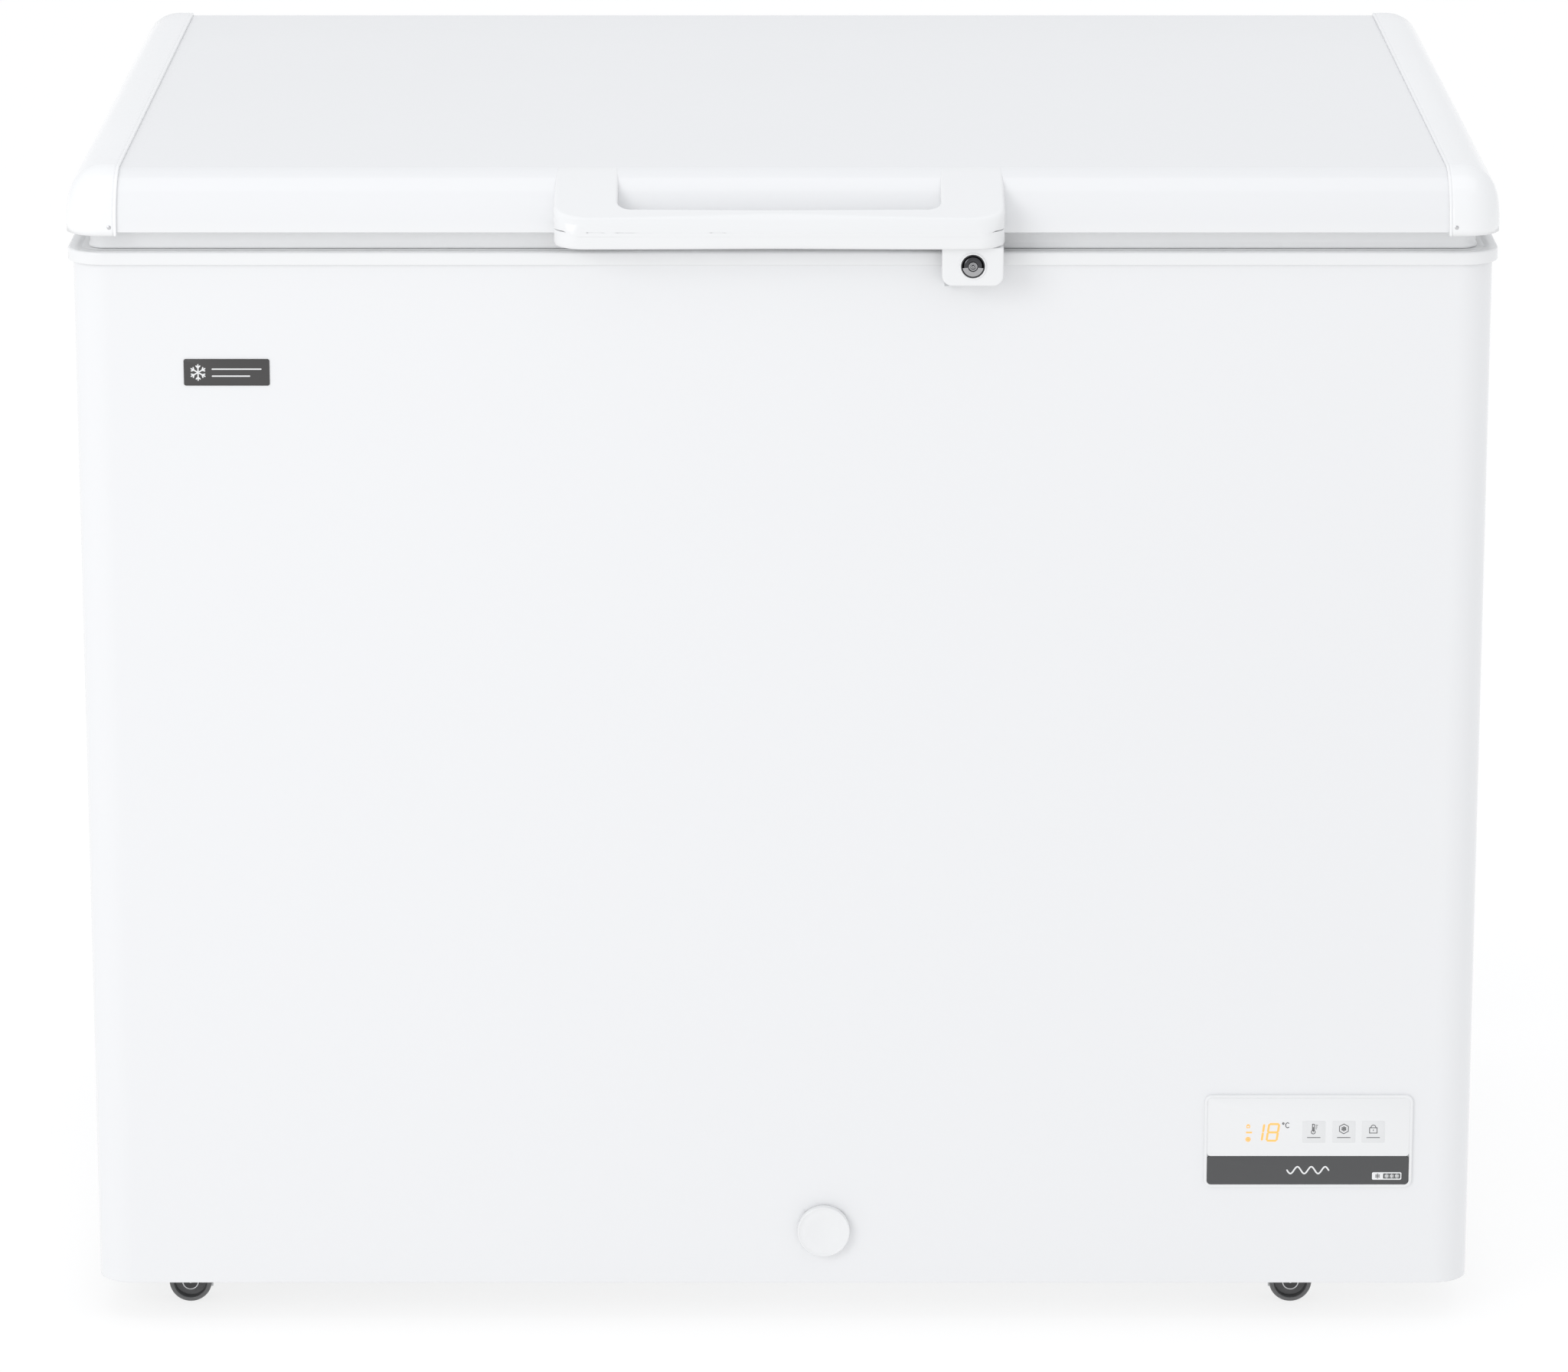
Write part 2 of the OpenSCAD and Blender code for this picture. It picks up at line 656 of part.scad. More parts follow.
// Cap that closes the drain at the front
module drain_cap() color("white") difference() {
    union() {
        rod_y(front_y - 7, front_y - skin_gap, drain_x, drain_z, drain_cap_d / 2);
        rod_y(front_y - eps, front_y + 12, drain_x, drain_z, drain_bore / 2 - rest_gap);
    }
    rod_y(front_y - 7 - eps, front_y - 5, drain_x, drain_z, drain_cap_d * 0.32);
}

// Plug in the storage floor
module drain_plug() color("white") {
    rod_z(floor_z + liner_t + skin_gap, floor_z + liner_t + 4, drain_x, drain_y, drain_bore / 2 + 5);
    rod_z(floor_z - 12, floor_z + liner_t + eps, drain_x, drain_y, drain_bore / 2 - rest_gap);
}

// Temperature sensor on the liner's rear wall, lower than the basket slides
module temperature_probe() color("white")
    block([step_x + 80, liner_d / 2 - liner_t - 12, basket_z0 - 74],
          [step_x + 96, liner_d / 2 - liner_t, basket_z0 - 14]);

// Striker: a plate under the collar, a post in front of it, and a finger over the lock's tongue
module lock_keeper() color("silver") translate([lock_x, 0, lock_z]) {
    block([post_x - post_t, front_y - 1.5, -19.5], [14, front_y, -6.2]);
    block([post_x - post_t, cam_y0 + 0.4, -19], [post_x, front_y - 0.5, -6.2]);
    block([post_x - post_t, cam_y0 + 0.4, -19],
          [post_x, front_y - collar_lip - 0.8, finger_z0 + finger_h]);
    block([post_x - post_t, cam_y0 + 0.4, finger_z0],
          [finger_x, front_y - collar_lip - 0.8, finger_z0 + finger_h]);
}

// Places a castor's pieces: u runs back from the wheel's front face, rear castors are mirrored
module at_castor(x, rear) translate([x, 0, wheel_r]) mirror([0, rear ? 1 : 0, 0])
    translate([0, castor_y0, 0]) rotate([-90, 0, 0]) children();

// Bent steel brackets that carry the castors from behind
module castor_brackets() color("dimgray") for (x = castor_xs, rear = [false, true]) {
    at_castor(x, rear) difference() {
        union() {
            translate([-15, -(rail_z0 - wheel_r), wheel_w + 0.5])
                cube([30, rail_z0 - wheel_r + 10, leg_t]);
            translate([-22, -(rail_z0 - wheel_r), -4]) cube([44, 2, wheel_w + 50]);
        }
        translate([0, 0, wheel_w]) cylinder(h = leg_t + 1, r = axle_r);
    }
}

// Shouldered axle bolts and their nuts
module castor_bolts() color("silver") for (x = castor_xs, rear = [false, true])
    at_castor(x, rear) {
        translate([0, 0, hub_depth - skin_gap - bolt_head_t]) cylinder(h = bolt_head_t, r = 5.5);
        translate([0, 0, hub_depth - skin_gap - 0.5])
            cylinder(h = wheel_w + 0.5 + leg_t + 5 - hub_depth + skin_gap + 0.5, r = axle_r);
        translate([0, 0, wheel_w + 0.5 + leg_t]) cylinder(h = 4, r = 6.5);
    }

// Castor wheel with a recessed face and a hub
module castor(x, rear) color("dimgray") at_castor(x, rear) difference() {
    cylinder(h = wheel_w, r = wheel_r);
    translate([0, 0, -eps]) difference() {
        cylinder(h = 6 + eps, r = wheel_r - 3.5);
        translate([0, 0, hub_depth + eps]) cylinder(h = 6, r = 6.5);
    }
    translate([0, 0, -eps]) cylinder(h = wheel_w + 2 * eps, r = axle_r + run_gap);
}
module castor_front_left() castor(castor_xs[0], false);
module castor_front_right() castor(castor_xs[1], false);
module castor_rear_left() castor(castor_xs[0], true);
module castor_rear_right() castor(castor_xs[1], true);

// Steel brackets on the back that carry the hinge pins
module hinge_brackets() color("silver") for (s = [-1, 1]) translate([s * hinge_x, 0, 0]) {
    block([-24, rear_y, hinge_plate_top - 120], [24, rear_y + hinge_plate_t, hinge_plate_top]);
    for (side = [0, 1]) mirror([side, 0, 0]) along_x(cheek_x, cheek_x + cheek_t) difference() {
        union() {
            polygon([[rear_y + hinge_plate_t - 0.5, hinge_plate_top - 90],
                     [rear_y + 14, hinge_plate_top - 90],
                     [pin_y + cheek_r, hinge_plate_top - 40], [pin_y + cheek_r, pin_z],
                     [pin_y - cheek_r, pin_z], [pin_y - cheek_r, hinge_plate_top],
                     [rear_y + hinge_plate_t - 0.5, hinge_plate_top]]);
            translate([pin_y, pin_z]) circle(cheek_r);
        }
        translate([pin_y, pin_z]) circle(pin_r);
    }
}

// Hinge pins with a head at each end
module hinge_pins() color("silver") for (s = [-1, 1]) translate([s * hinge_x, 0, 0]) {
    rod_x(-cheek_x - cheek_t - 0.5, cheek_x + cheek_t + 0.5, pin_y, pin_z, pin_r);
    for (side = [0, 1]) mirror([side, 0, 0])
        rod_x(cheek_x + cheek_t, cheek_x + cheek_t + 2, pin_y, pin_z, pin_r + 2);
}

// Close-wound counterbalance springs round the pins, each with a leg on its bracket
module hinge_springs() color("dimgray") for (s = [-1, 1]) translate([s * hinge_x, pin_y, pin_z]) {
    coils = floor(2 * spring_half_w / spring_wire) - 1;
    rotate([0, 90, 0]) rotate_extrude() for (i = [0 : coils])
        translate([pin_r + rest_gap + spring_wire / 2, (i - coils / 2) * (spring_wire - 0.2)])
            circle(d = spring_wire, $fn = 24);
    leg_y = rear_y + hinge_plate_t + spring_wire / 2 + skin_gap - pin_y;
    pipe([[0, -pin_r - rest_gap - spring_wire / 2, -1], [0, leg_y, -24], [0, leg_y, -70]],
         spring_wire - 0.2);
}

// Plastic covers over the hinge brackets
module hinge_covers() color("white") for (s = [-1, 1]) translate([s * hinge_x, 0, 0]) difference() {
    along_z(cover_z0, cover_z1)
        footprint(cover_half_w, rear_y + skin_gap, rear_y + cover_reach, 1, 8);
    along_z(cover_z0 + cover_t, cover_z1 + eps)
        footprint(cover_half_w - cover_t, rear_y - eps, rear_y + cover_reach - cover_t, 1, 6);
}

// Lid panel: one painted sheet, rolled at the front and hemmed below
module lid_panel() color("white") {
    along_x(-panel_half_w, panel_half_w) difference() {
        hood(lid_y0, lid_y1, panel_z0, panel_top, roll_r, rear_roll_r);
        hood(lid_y0 + sheet_t, lid_y1 - sheet_t, panel_z0 - eps, panel_top - sheet_t,
             roll_r - sheet_t, rear_roll_r - sheet_t);
    }
    for (y = [lid_y0 + 0.1, lid_y1 - hem - 0.1])
        block([-panel_half_w, y, panel_z0], [panel_half_w, y + hem, panel_z0 + sheet_t]);
}

// The end caps' envelope, shrunk by t at the side and by g at the front, back and top
module cap_envelope(t, g, z0) intersection() {
    along_x(-lid_half_w - eps, lid_half_w + eps)
        hood(lid_y0 - cap_proud + g, lid_y1 + cap_proud - g, z0, cap_top - g,
             roll_r + cap_proud - g, rear_roll_r + cap_proud - g);
    along_z(z0, cap_top - g) footprint(lid_half_w - t, lid_y0 - cap_proud + g,
        lid_y1 + cap_proud - g, lid_corner_r - t, lid_corner_r - t);
    along_y(lid_y0 - 2 * cap_proud, lid_y1 + 2 * cap_proud)
        hood(-lid_half_w + t, lid_half_w - t, z0, cap_top - g, side_roll_r - t, side_roll_r - t);
}

// Moulded end cap on the lid's left side
module end_cap_left() color("white") difference() {
    cap_envelope(0, 0, cap_z0);
    cap_envelope(cap_t, cap_proud, cap_z0 - eps);
    block([-lid_half_w + cap_w, lid_y0 - 20, cap_z0 - 5], [lid_half_w + 5, lid_y1 + 20, cap_top + 5]);
}
module end_cap_right() mirror([1, 0, 0]) end_cap_left();

// Screws through the end caps into the panel
module cap_screws() color("silver") for (s = [-1, 1], front = [0, 1]) mirror([0, front, 0])
    rod_y(lid_y1 + cap_proud, lid_y1 + cap_proud + 0.8, s * (lid_half_w - cap_w + 5), cap_z0 + 6, 2.4);

// Foam core of the lid and of its plug, short enough at both ends to clear the caps' rounding
module lid_foam() color("khaki") {
    cap_envelope(foam_end, cap_proud + sheet_t + skin_gap, flange_z1);
    along_z(plug_z0 + plug_t, flange_z1 + eps)
        round_rect(plug_w - 2 * plug_t - 2 * skin_gap, plug_d - 2 * plug_t - 2 * skin_gap,
                   mouth_r - plug_t);
}

// Thermoformed underside of the lid with its plug
module lid_liner() color("whitesmoke") difference() {
    union() {
        along_z(flange_z0, flange_z1) footprint(lid_half_w - cap_t - skin_gap,
            lid_y0 + sheet_t + hem + skin_gap, lid_y1 - sheet_t - hem - skin_gap, 12, 12);
        along_z(plug_z0, flange_z1) round_rect(plug_w, plug_d, mouth_r);
    }
    along_z(plug_z0 + plug_t, flange_z1 + eps)
        round_rect(plug_w - 2 * plug_t, plug_d - 2 * plug_t, mouth_r - plug_t);
}

// Soft gasket under the lid's edge
module lid_gasket() color("white") along_z(gasket_z0, flange_z0) difference() {
    footprint(lid_half_w - gasket_inset, lid_y0 + gasket_inset, lid_y1 - gasket_inset,
              gasket_r, gasket_r);
    footprint(lid_half_w - gasket_inset - gasket_w, lid_y0 + gasket_inset + gasket_w,
              lid_y1 - gasket_inset - gasket_w, 4, 4);
}

// Side view of the handle: sloping top, rounded nose, and the lid's roll behind it
module handle_side() difference() {
    union() {
        polygon([[handle_top_y, panel_top], [handle_y0 + nose_r, part_z + nose_r],
                 [handle_y0 + nose_r, handle_z0], [handle_top_y, handle_z0]]);
        translate([handle_y0 + nose_r, part_z]) circle(nose_r);
        translate([handle_y0, handle_z0 + lip_r]) square([nose_r, bar_drop - lip_r]);
        translate([handle_y0 + lip_r, handle_z0]) square([nose_r, nose_r]);
        translate([handle_y0 + lip_r, handle_z0 + lip_r]) circle(lip_r);
    }
    translate([handle_top_y, roll_z]) circle(roll_r + skin_gap, $fn = 96);
    translate([lid_y0 - skin_gap, handle_z0 - eps])
        square([roll_r + 5, roll_z - handle_z0 + eps]);
    translate([handle_y0, handle_z0 - nose_r]) square([nose_r + 5, nose_r]);
}

// The handle's whole body between two heights
module handle_slice(z0, z1) translate([handle_x, 0, 0]) intersection() {
    along_x(-handle_w / 2, handle_w / 2) handle_side();
    along_z(z0, z1) difference() {
        footprint(handle_w / 2, handle_y0 - eps, handle_top_y + eps, handle_corner_r, 0);
        footprint(handle_w / 2 - arm_w, handle_y0 + bar_d, handle_top_y + 5, grip_corner_r, 0);
    }
}

// Upper and lower mouldings of the handle, which meet at the parting line
module handle_upper() color("white") handle_slice(part_z, panel_top + eps);
module handle_lower() color("white") handle_slice(handle_z0 - eps, part_z);

// Lock housing under the handle's right arm
module lock_housing() color("white") difference() {
    union() {
        along_y(tab_y0, tab_y1) intersection() {
            translate([lock_x, handle_z0 - tab_h / 2]) round_rect(tab_w, tab_h, 6);
            translate([lock_x - tab_w, tab_z0 - eps]) square([2 * tab_w, tab_h + eps]);
        }
        block([lock_x - tab_w / 2, tab_y0, handle_z0 - 8], [lock_x + tab_w / 2, tab_y1, handle_z0]);
        rod_y(tab_y0 - 1, tab_y0 + eps, lock_x, lock_z, lock_r + 1.3);
    }
    rod_y(tab_y0 - 1 - eps, tab_y1 + eps, lock_x, lock_z, lock_r + run_gap);
}

// Hinge arms: a flange on the lid's back and two webs to each pin
module hinge_arms() color("silver") for (s = [-1, 1]) translate([s * hinge_x, 0, 0]) {
    block([-20, lid_y1, panel_z0 + 3], [20, lid_y1 + 2.5, panel_top - rear_roll_r - 2]);
    for (side = [0, 1]) mirror([side, 0, 0]) along_x(web_x, web_x + web_t) difference() {
        union() {
            polygon([[lid_y1 + 2, panel_z0 + 3], [lid_y1 + 2, panel_top - rear_roll_r - 4],
                     [pin_y + web_r - 1, pin_z + 3], [pin_y - 3, pin_z - 5]]);
            translate([pin_y, pin_z]) circle(web_r);
        }
        translate([pin_y, pin_z]) circle(pin_r + run_gap);
    }
}

// Screws that hold the hinge arms to the lid
module arm_screws() color("silver")
    for (s = [-1, 1], side = [-1, 1], z = [panel_z0 + 9, panel_top - rear_roll_r - 8])
        rod_y(lid_y1 + 2.5, lid_y1 + 4.5, s * hinge_x + side * 16.4, z, 2.8);

// Flat tongue on the spindle's end, which hangs down when unlocked
module lock_tongue() color("silver") {
    rod_y(cam_y0, cam_y0 + cam_t, lock_x, lock_z, tongue_w / 2);
    block([lock_x - tongue_w / 2, cam_y0, lock_z - tongue_len],
          [lock_x + tongue_w / 2, cam_y0 + cam_t, lock_z]);
}

// Lock cylinder with its key slot and its spindle
module lock_cylinder() color("silver") difference() {
    union() {
        rod_y(tab_y0 - 1.4, tab_y1, lock_x, lock_z, lock_r);
        rod_y(tab_y1 - eps, cam_y0, lock_x, lock_z, spindle_r);
    }
    rod_y(tab_y0 - 2, tab_y0 + 7, lock_x, lock_z, 2.6);
}

// Evenly spaced places strictly between -w/2 and w/2, no further apart than the wire pitch
function between(w) = let (n = ceil(w / wire_pitch)) [for (i = [1 : n - 1]) -w / 2 + i * w / n];

// Bar of the basket, a straight wire between two points
module wire(a, b) {
    run = b - a;
    translate(a) rotate([0, acos(run[2] / norm(run)), atan2(run[1], run[0])])
        cylinder(h = norm(run), r = wire_r, $fn = 8);
}

// Wire basket that hangs by its hooks from the collar
module wire_basket() color("white") translate([basket_x, 0, 0]) {
    x = basket_w / 2;
    y = basket_y;
    for (s = [-1, 1], z = [rim_z, basket_z0]) {
        wire([-x - wire_r, s * y, z], [x + wire_r, s * y, z]);
        wire([s * x, -y - wire_r, z], [s * x, y + wire_r, z]);
    }
    for (u = concat([-x], between(2 * x), [x])) {
        wire([u, -y, basket_z0], [u, y, basket_z0]);
        for (s = [-1, 1]) wire([u, s * y, basket_z0], [u, s * y, rim_z]);
    }
    for (v = between(2 * y)) {
        wire([-x, v, basket_z0], [x, v, basket_z0]);
        for (s = [-1, 1]) wire([s * x, v, basket_z0], [s * x, v, rim_z]);
    }
    for (s = [-1, 1]) {
        for (t = [-1, 1]) {
            wire([t * hook_x, s * hook_y, rim_z - 4], [t * hook_x, s * hook_y, grip_z + wire_r]);
            wire([t * hook_x, s * hook_y, grip_z], [t * hook_x, s * (grip_y + wire_r), grip_z]);
        }
        wire([-hook_x - wire_r, s * grip_y, grip_z], [hook_x + wire_r, s * grip_y, grip_z]);
    }
}

// Plastic sleeves on the basket's hooks, which slide along the collar
module basket_grips() color("gray") for (s = [-1, 1]) difference() {
    rod_x(basket_x - hook_x + 6, basket_x + hook_x - 6, s * grip_y, grip_z, sleeve_r);
    rod_x(basket_x - hook_x, basket_x + hook_x, s * grip_y, grip_z, wire_r + 0.05);
}

outer_wrap();
back_panel();
base_plate();
base_rails();
cabinet_foam();
inner_liner();
top_collar();
evaporator_coil();
condenser_coil();
compressor_shell();
compressor_base();
compressor_grommets();
terminal_cover();
filter_drier();
discharge_line();
suction_line();
capillary_tube();
control_box();
wiring_loom();
rear_grille();
grille_screws();
cord_grommet();
display_bezel();
display_lens();
display_strip();
display_board();
touch_keys();
badge();
drain_tube();
drain_cap();
drain_plug();
temperature_probe();
lock_keeper();
castor_brackets();
castor_bolts();
castor_front_left();
castor_front_right();
castor_rear_left();
castor_rear_right();
hinge_brackets();
hinge_pins();
hinge_springs();
hinge_covers();
lid_panel();
end_cap_left();
end_cap_right();
cap_screws();
lid_foam();
lid_liner();
lid_gasket();
handle_upper();
handle_lower();
lock_housing();
hinge_arms();
arm_screws();
lock_cylinder();
lock_tongue();
wire_basket();
basket_grips();
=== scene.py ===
import json
import math
import bmesh
import bpy
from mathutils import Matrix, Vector
import numpy as np


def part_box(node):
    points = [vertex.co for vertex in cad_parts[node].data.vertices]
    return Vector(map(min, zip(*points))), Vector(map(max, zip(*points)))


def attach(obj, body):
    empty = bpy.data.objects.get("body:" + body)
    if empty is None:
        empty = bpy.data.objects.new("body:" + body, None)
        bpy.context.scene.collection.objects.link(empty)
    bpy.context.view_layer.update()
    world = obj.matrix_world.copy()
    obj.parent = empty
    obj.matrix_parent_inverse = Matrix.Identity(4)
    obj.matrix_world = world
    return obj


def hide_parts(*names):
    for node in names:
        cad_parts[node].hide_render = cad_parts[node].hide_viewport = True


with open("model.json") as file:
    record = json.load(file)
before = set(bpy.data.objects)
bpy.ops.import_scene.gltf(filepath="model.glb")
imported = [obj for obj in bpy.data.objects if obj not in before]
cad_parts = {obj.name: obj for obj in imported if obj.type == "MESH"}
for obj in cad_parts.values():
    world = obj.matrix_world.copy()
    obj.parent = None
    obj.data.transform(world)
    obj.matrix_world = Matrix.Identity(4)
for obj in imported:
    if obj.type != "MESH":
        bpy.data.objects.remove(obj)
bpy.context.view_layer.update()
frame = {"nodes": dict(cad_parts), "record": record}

# ---------------------------------------------------------------- Studio
# A long lens that looks down a little on the front, a seamless white floor, a broad light from
# the left, a wide one overhead and a pale surround. None of it is part of the freezer.
mm = 0.001
scene = bpy.context.scene
scene.view_settings.view_transform = "Standard"
lid_lo, lid_hi = (np.array(v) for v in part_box("lid_panel"))
focal_length = 160.19
sideways_shift = 0.0007
camera_distance = 4.762
camera_height = 1.764
camera_dip = 15.12
camera_data = bpy.data.cameras.new("camera")
camera_data.sensor_width = 36.0
camera_data.lens = focal_length
camera_data.shift_x = sideways_shift
camera = bpy.data.objects.new("camera", camera_data)
camera.location = (0.0, lid_lo[1] - camera_distance, camera_height)
camera.rotation_euler = (math.radians(90 - camera_dip), 0, 0)
scene.collection.objects.link(camera)
scene.camera = camera


def mesh_object(name, points, faces, sharp=30.0, keep_order=False):
    """Makes an object of computed points and faces: doubles merged, faces turned outwards,
    smooth shading with folds sharper than the given angle kept crisp."""
    merge = 1e-6
    mesh = bpy.data.meshes.new(name)
    mesh.from_pydata(np.asarray(points).tolist(), [], [list(map(int, f)) for f in faces])
    bm = bmesh.new()
    bm.from_mesh(mesh)
    bmesh.ops.remove_doubles(bm, verts=bm.verts, dist=merge)
    bmesh.ops.dissolve_degenerate(bm, edges=bm.edges, dist=merge)
    if not keep_order:
        bmesh.ops.recalc_face_normals(bm, faces=bm.faces)
    bm.to_mesh(mesh)
    bm.free()
    mesh.shade_smooth()
    mesh.set_sharp_from_angle(angle=math.radians(sharp))
    obj = bpy.data.objects.new(name, mesh)
    scene.collection.objects.link(obj)
    return obj


def studio_floor():
    """A broad square of matte white, lit a little from within so that it stays pale."""
    reach, grey, glow = 30.0, 0.25, 0.775
    corners = [(-reach, -reach, 0), (reach, -reach, 0), (reach, reach, 0), (-reach, reach, 0)]
    obj = mesh_object("studio_floor", corners, [(0, 1, 2, 3)], keep_order=True)
    mat = bpy.data.materials.new("studio_floor")
    mat.use_nodes = True
    shader = mat.node_tree.nodes["Principled BSDF"]
    shader.inputs["Base Color"].default_value = (grey, grey, grey, 1)
    shader.inputs["Roughness"].default_value = 0.9
    shader.inputs["Specular IOR Level"].default_value = 0.1
    shader.inputs["Emission Color"].default_value = (1, 1, 1, 1)
    shader.inputs["Emission Strength"].default_value = glow
    obj.data.materials.append(mat)


def soft_light(name, place, aim, size, watts):
    """A rectangular studio light at a place, turned towards the point that it aims at."""
    data = bpy.data.lights.new(name, "AREA")
    data.shape = "RECTANGLE"
    data.size, data.size_y = size
    data.energy = watts
    lamp = bpy.data.objects.new(name, data)
    lamp.location = place
    lamp.rotation_euler = (Vector(aim) - Vector(place)).to_track_quat("-Z", "Y").to_euler()
    scene.collection.objects.link(lamp)


studio_floor()
soft_light("light_left", place=(-2.2, -3.1, 1.9), aim=(-0.25, -0.33, 0.75), size=(1.8, 1.8), watts=29)
soft_light("light_top", place=(0.0, -0.1, 3.0), aim=(0, -0.1, 0.84), size=(3.8, 1.5), watts=10)
world = bpy.data.worlds.new("studio")
world.use_nodes = True
surround = world.node_tree.nodes["Background"]
surround.inputs["Color"].default_value = (0.97, 0.98, 1.0, 1)
surround.inputs["Strength"].default_value = 0.86
scene.world = world

# ---------------------------------------------------------------- Cabinet wrap
# One sheet of painted steel, bent round the front corners on a 26 mm radius and open at the
# back. The drain opening is pierced near the bottom of the front. The paint has a faint
# orange peel, a gloss that wanders a little and a slow drift of its colour.


def node(tree, kind, **settings):
    """Adds a shader node and sets its properties and its inputs by name."""
    made = tree.nodes.new(kind)
    for key, value in settings.items():
        if hasattr(made, key):
            setattr(made, key, value)
        else:
            made.inputs[key.replace("_", " ")].default_value = value
    return made


def relief_group():
    """Node group: a slow noise on the object's own coordinates, of scale Drift, gives a mask
    and a roughness between Low and High, and a fine one, of scale Scale, tilts the normal by
    Depth."""
    group = bpy.data.node_groups.new("surface_relief", "ShaderNodeTree")
    sockets = (("Scale", 60.0), ("Low", 0.3), ("High", 0.4), ("Depth", 0.1), ("Drift", 3.0))
    for label, value in sockets:
        group.interface.new_socket(label, in_out="INPUT",
                                   socket_type="NodeSocketFloat").default_value = value
    group.interface.new_socket("Mask", in_out="OUTPUT", socket_type="NodeSocketFloat")
    group.interface.new_socket("Roughness", in_out="OUTPUT", socket_type="NodeSocketFloat")
    group.interface.new_socket("Normal", in_out="OUTPUT", socket_type="NodeSocketVector")
    put = node(group, "NodeGroupInput")
    out = node(group, "NodeGroupOutput")
    place = node(group, "ShaderNodeTexCoord")
    drift = node(group, "ShaderNodeTexNoise", Detail=3.0)
    grain = node(group, "ShaderNodeTexNoise", Detail=2.0)
    gloss = node(group, "ShaderNodeMapRange", From_Min=0.3, From_Max=0.7)
    tilt = node(group, "ShaderNodeBump", Distance=0.0004)
    link = group.links.new
    link(place.outputs["Object"], drift.inputs["Vector"])
    link(place.outputs["Object"], grain.inputs["Vector"])
    link(put.outputs["Drift"], drift.inputs["Scale"])
    link(put.outputs["Scale"], grain.inputs["Scale"])
    link(drift.outputs["Fac"], gloss.inputs["Value"])
    link(put.outputs["Low"], gloss.inputs["To Min"])
    link(put.outputs["High"], gloss.inputs["To Max"])
    link(grain.outputs["Fac"], tilt.inputs["Height"])
    link(put.outputs["Depth"], tilt.inputs["Strength"])
    link(drift.outputs["Fac"], out.inputs["Mask"])
    link(gloss.outputs["Result"], out.inputs["Roughness"])
    link(tilt.outputs["Normal"], out.inputs["Normal"])
    return group


relief = relief_group()


def finish(name, colour, rough, grain, drift, metallic=0.0):
    """A material: colour drifts by a share of itself, roughness runs between two values, and
    the grain has a scale per metre and a depth."""
    mat = bpy.data.materials.new(name)
    mat.use_nodes = True
    tree = mat.node_tree
    shader = tree.nodes["Principled BSDF"]
    surface = node(tree, "ShaderNodeGroup")
    surface.node_tree = relief
    for label, value in zip(("Scale", "Depth", "Low", "High"), (*grain, *rough)):
        surface.inputs[label].default_value = value
    # A mix node has its colour sockets after those for numbers and vectors.
    tone = node(tree, "ShaderNodeMix", data_type="RGBA")
    first_colour, second_colour, mixed_colour = 6, 7, 2
    dark = [c * (1 - drift) for c in colour]
    light = [min(1.0, c * (1 + drift)) for c in colour]
    tone.inputs[first_colour].default_value = (*dark, 1)
    tone.inputs[second_colour].default_value = (*light, 1)
    tree.links.new(surface.outputs["Mask"], tone.inputs[0])
    tree.links.new(tone.outputs[mixed_colour], shader.inputs["Base Color"])
    tree.links.new(surface.outputs["Roughness"], shader.inputs["Roughness"])
    tree.links.new(surface.outputs["Normal"], shader.inputs["Normal"])
    shader.inputs["Metallic"].default_value = metallic
    return mat


white_paint = finish("white_paint", (0.83, 0.835, 0.845), (0.13, 0.17), (260.0, 0.035), 0.004)


def dress(piece, body, material, slot, *nodes):
    """Gives a piece its material and body, and the CAD nodes that it stands for. The slot is not used.
    """
    piece.data.materials.append(material)
    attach(piece, body)
    if nodes:
        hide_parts(*nodes)


def solid_sheet(obj, thickness):
    """Gives an open sheet its thickness inwards, with the modifier left live on the piece."""
    wall = obj.modifiers.new("thickness", "SOLIDIFY")
    wall.thickness = thickness
    wall.offset = -1.0
    wall.use_even_offset = True
    return obj


wrap_lo, wrap_hi = (np.array(v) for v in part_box("outer_wrap"))
corner_r = 26 * mm
corner_steps = 14
drain_lo, drain_hi = (np.array(v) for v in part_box("drain_cap"))
drain_x = (drain_lo[0] + drain_hi[0]) / 2
drain_z = (drain_lo[2] + drain_hi[2]) / 2
drain_hole_r = 10.5 * mm
sheet_t = 0.8 * mm


def wrap_path(window):
    """Plan of the wrap from its left rear edge round the front to its right rear edge, with
    the two edges of a square window in it and a quarter circle round each corner."""
    t = np.linspace(0, math.pi / 2, corner_steps + 1)
    left, right, front, rear = wrap_lo[0], wrap_hi[0], wrap_lo[1], wrap_hi[1]
    arc_l = np.stack([left + corner_r * (1 - np.cos(t)), front + corner_r * (1 - np.sin(t))], -1)
    arc_r = np.stack([right - corner_r * (1 - np.sin(t)), front + corner_r * (1 - np.cos(t))], -1)
    guard = 1 * mm
    across = (left + corner_r + guard, *window, right - corner_r - guard)
    middle = np.array([[x, front] for x in across])
    return np.concatenate([[[left, rear]], arc_l, middle, arc_r, [[right, rear]]])


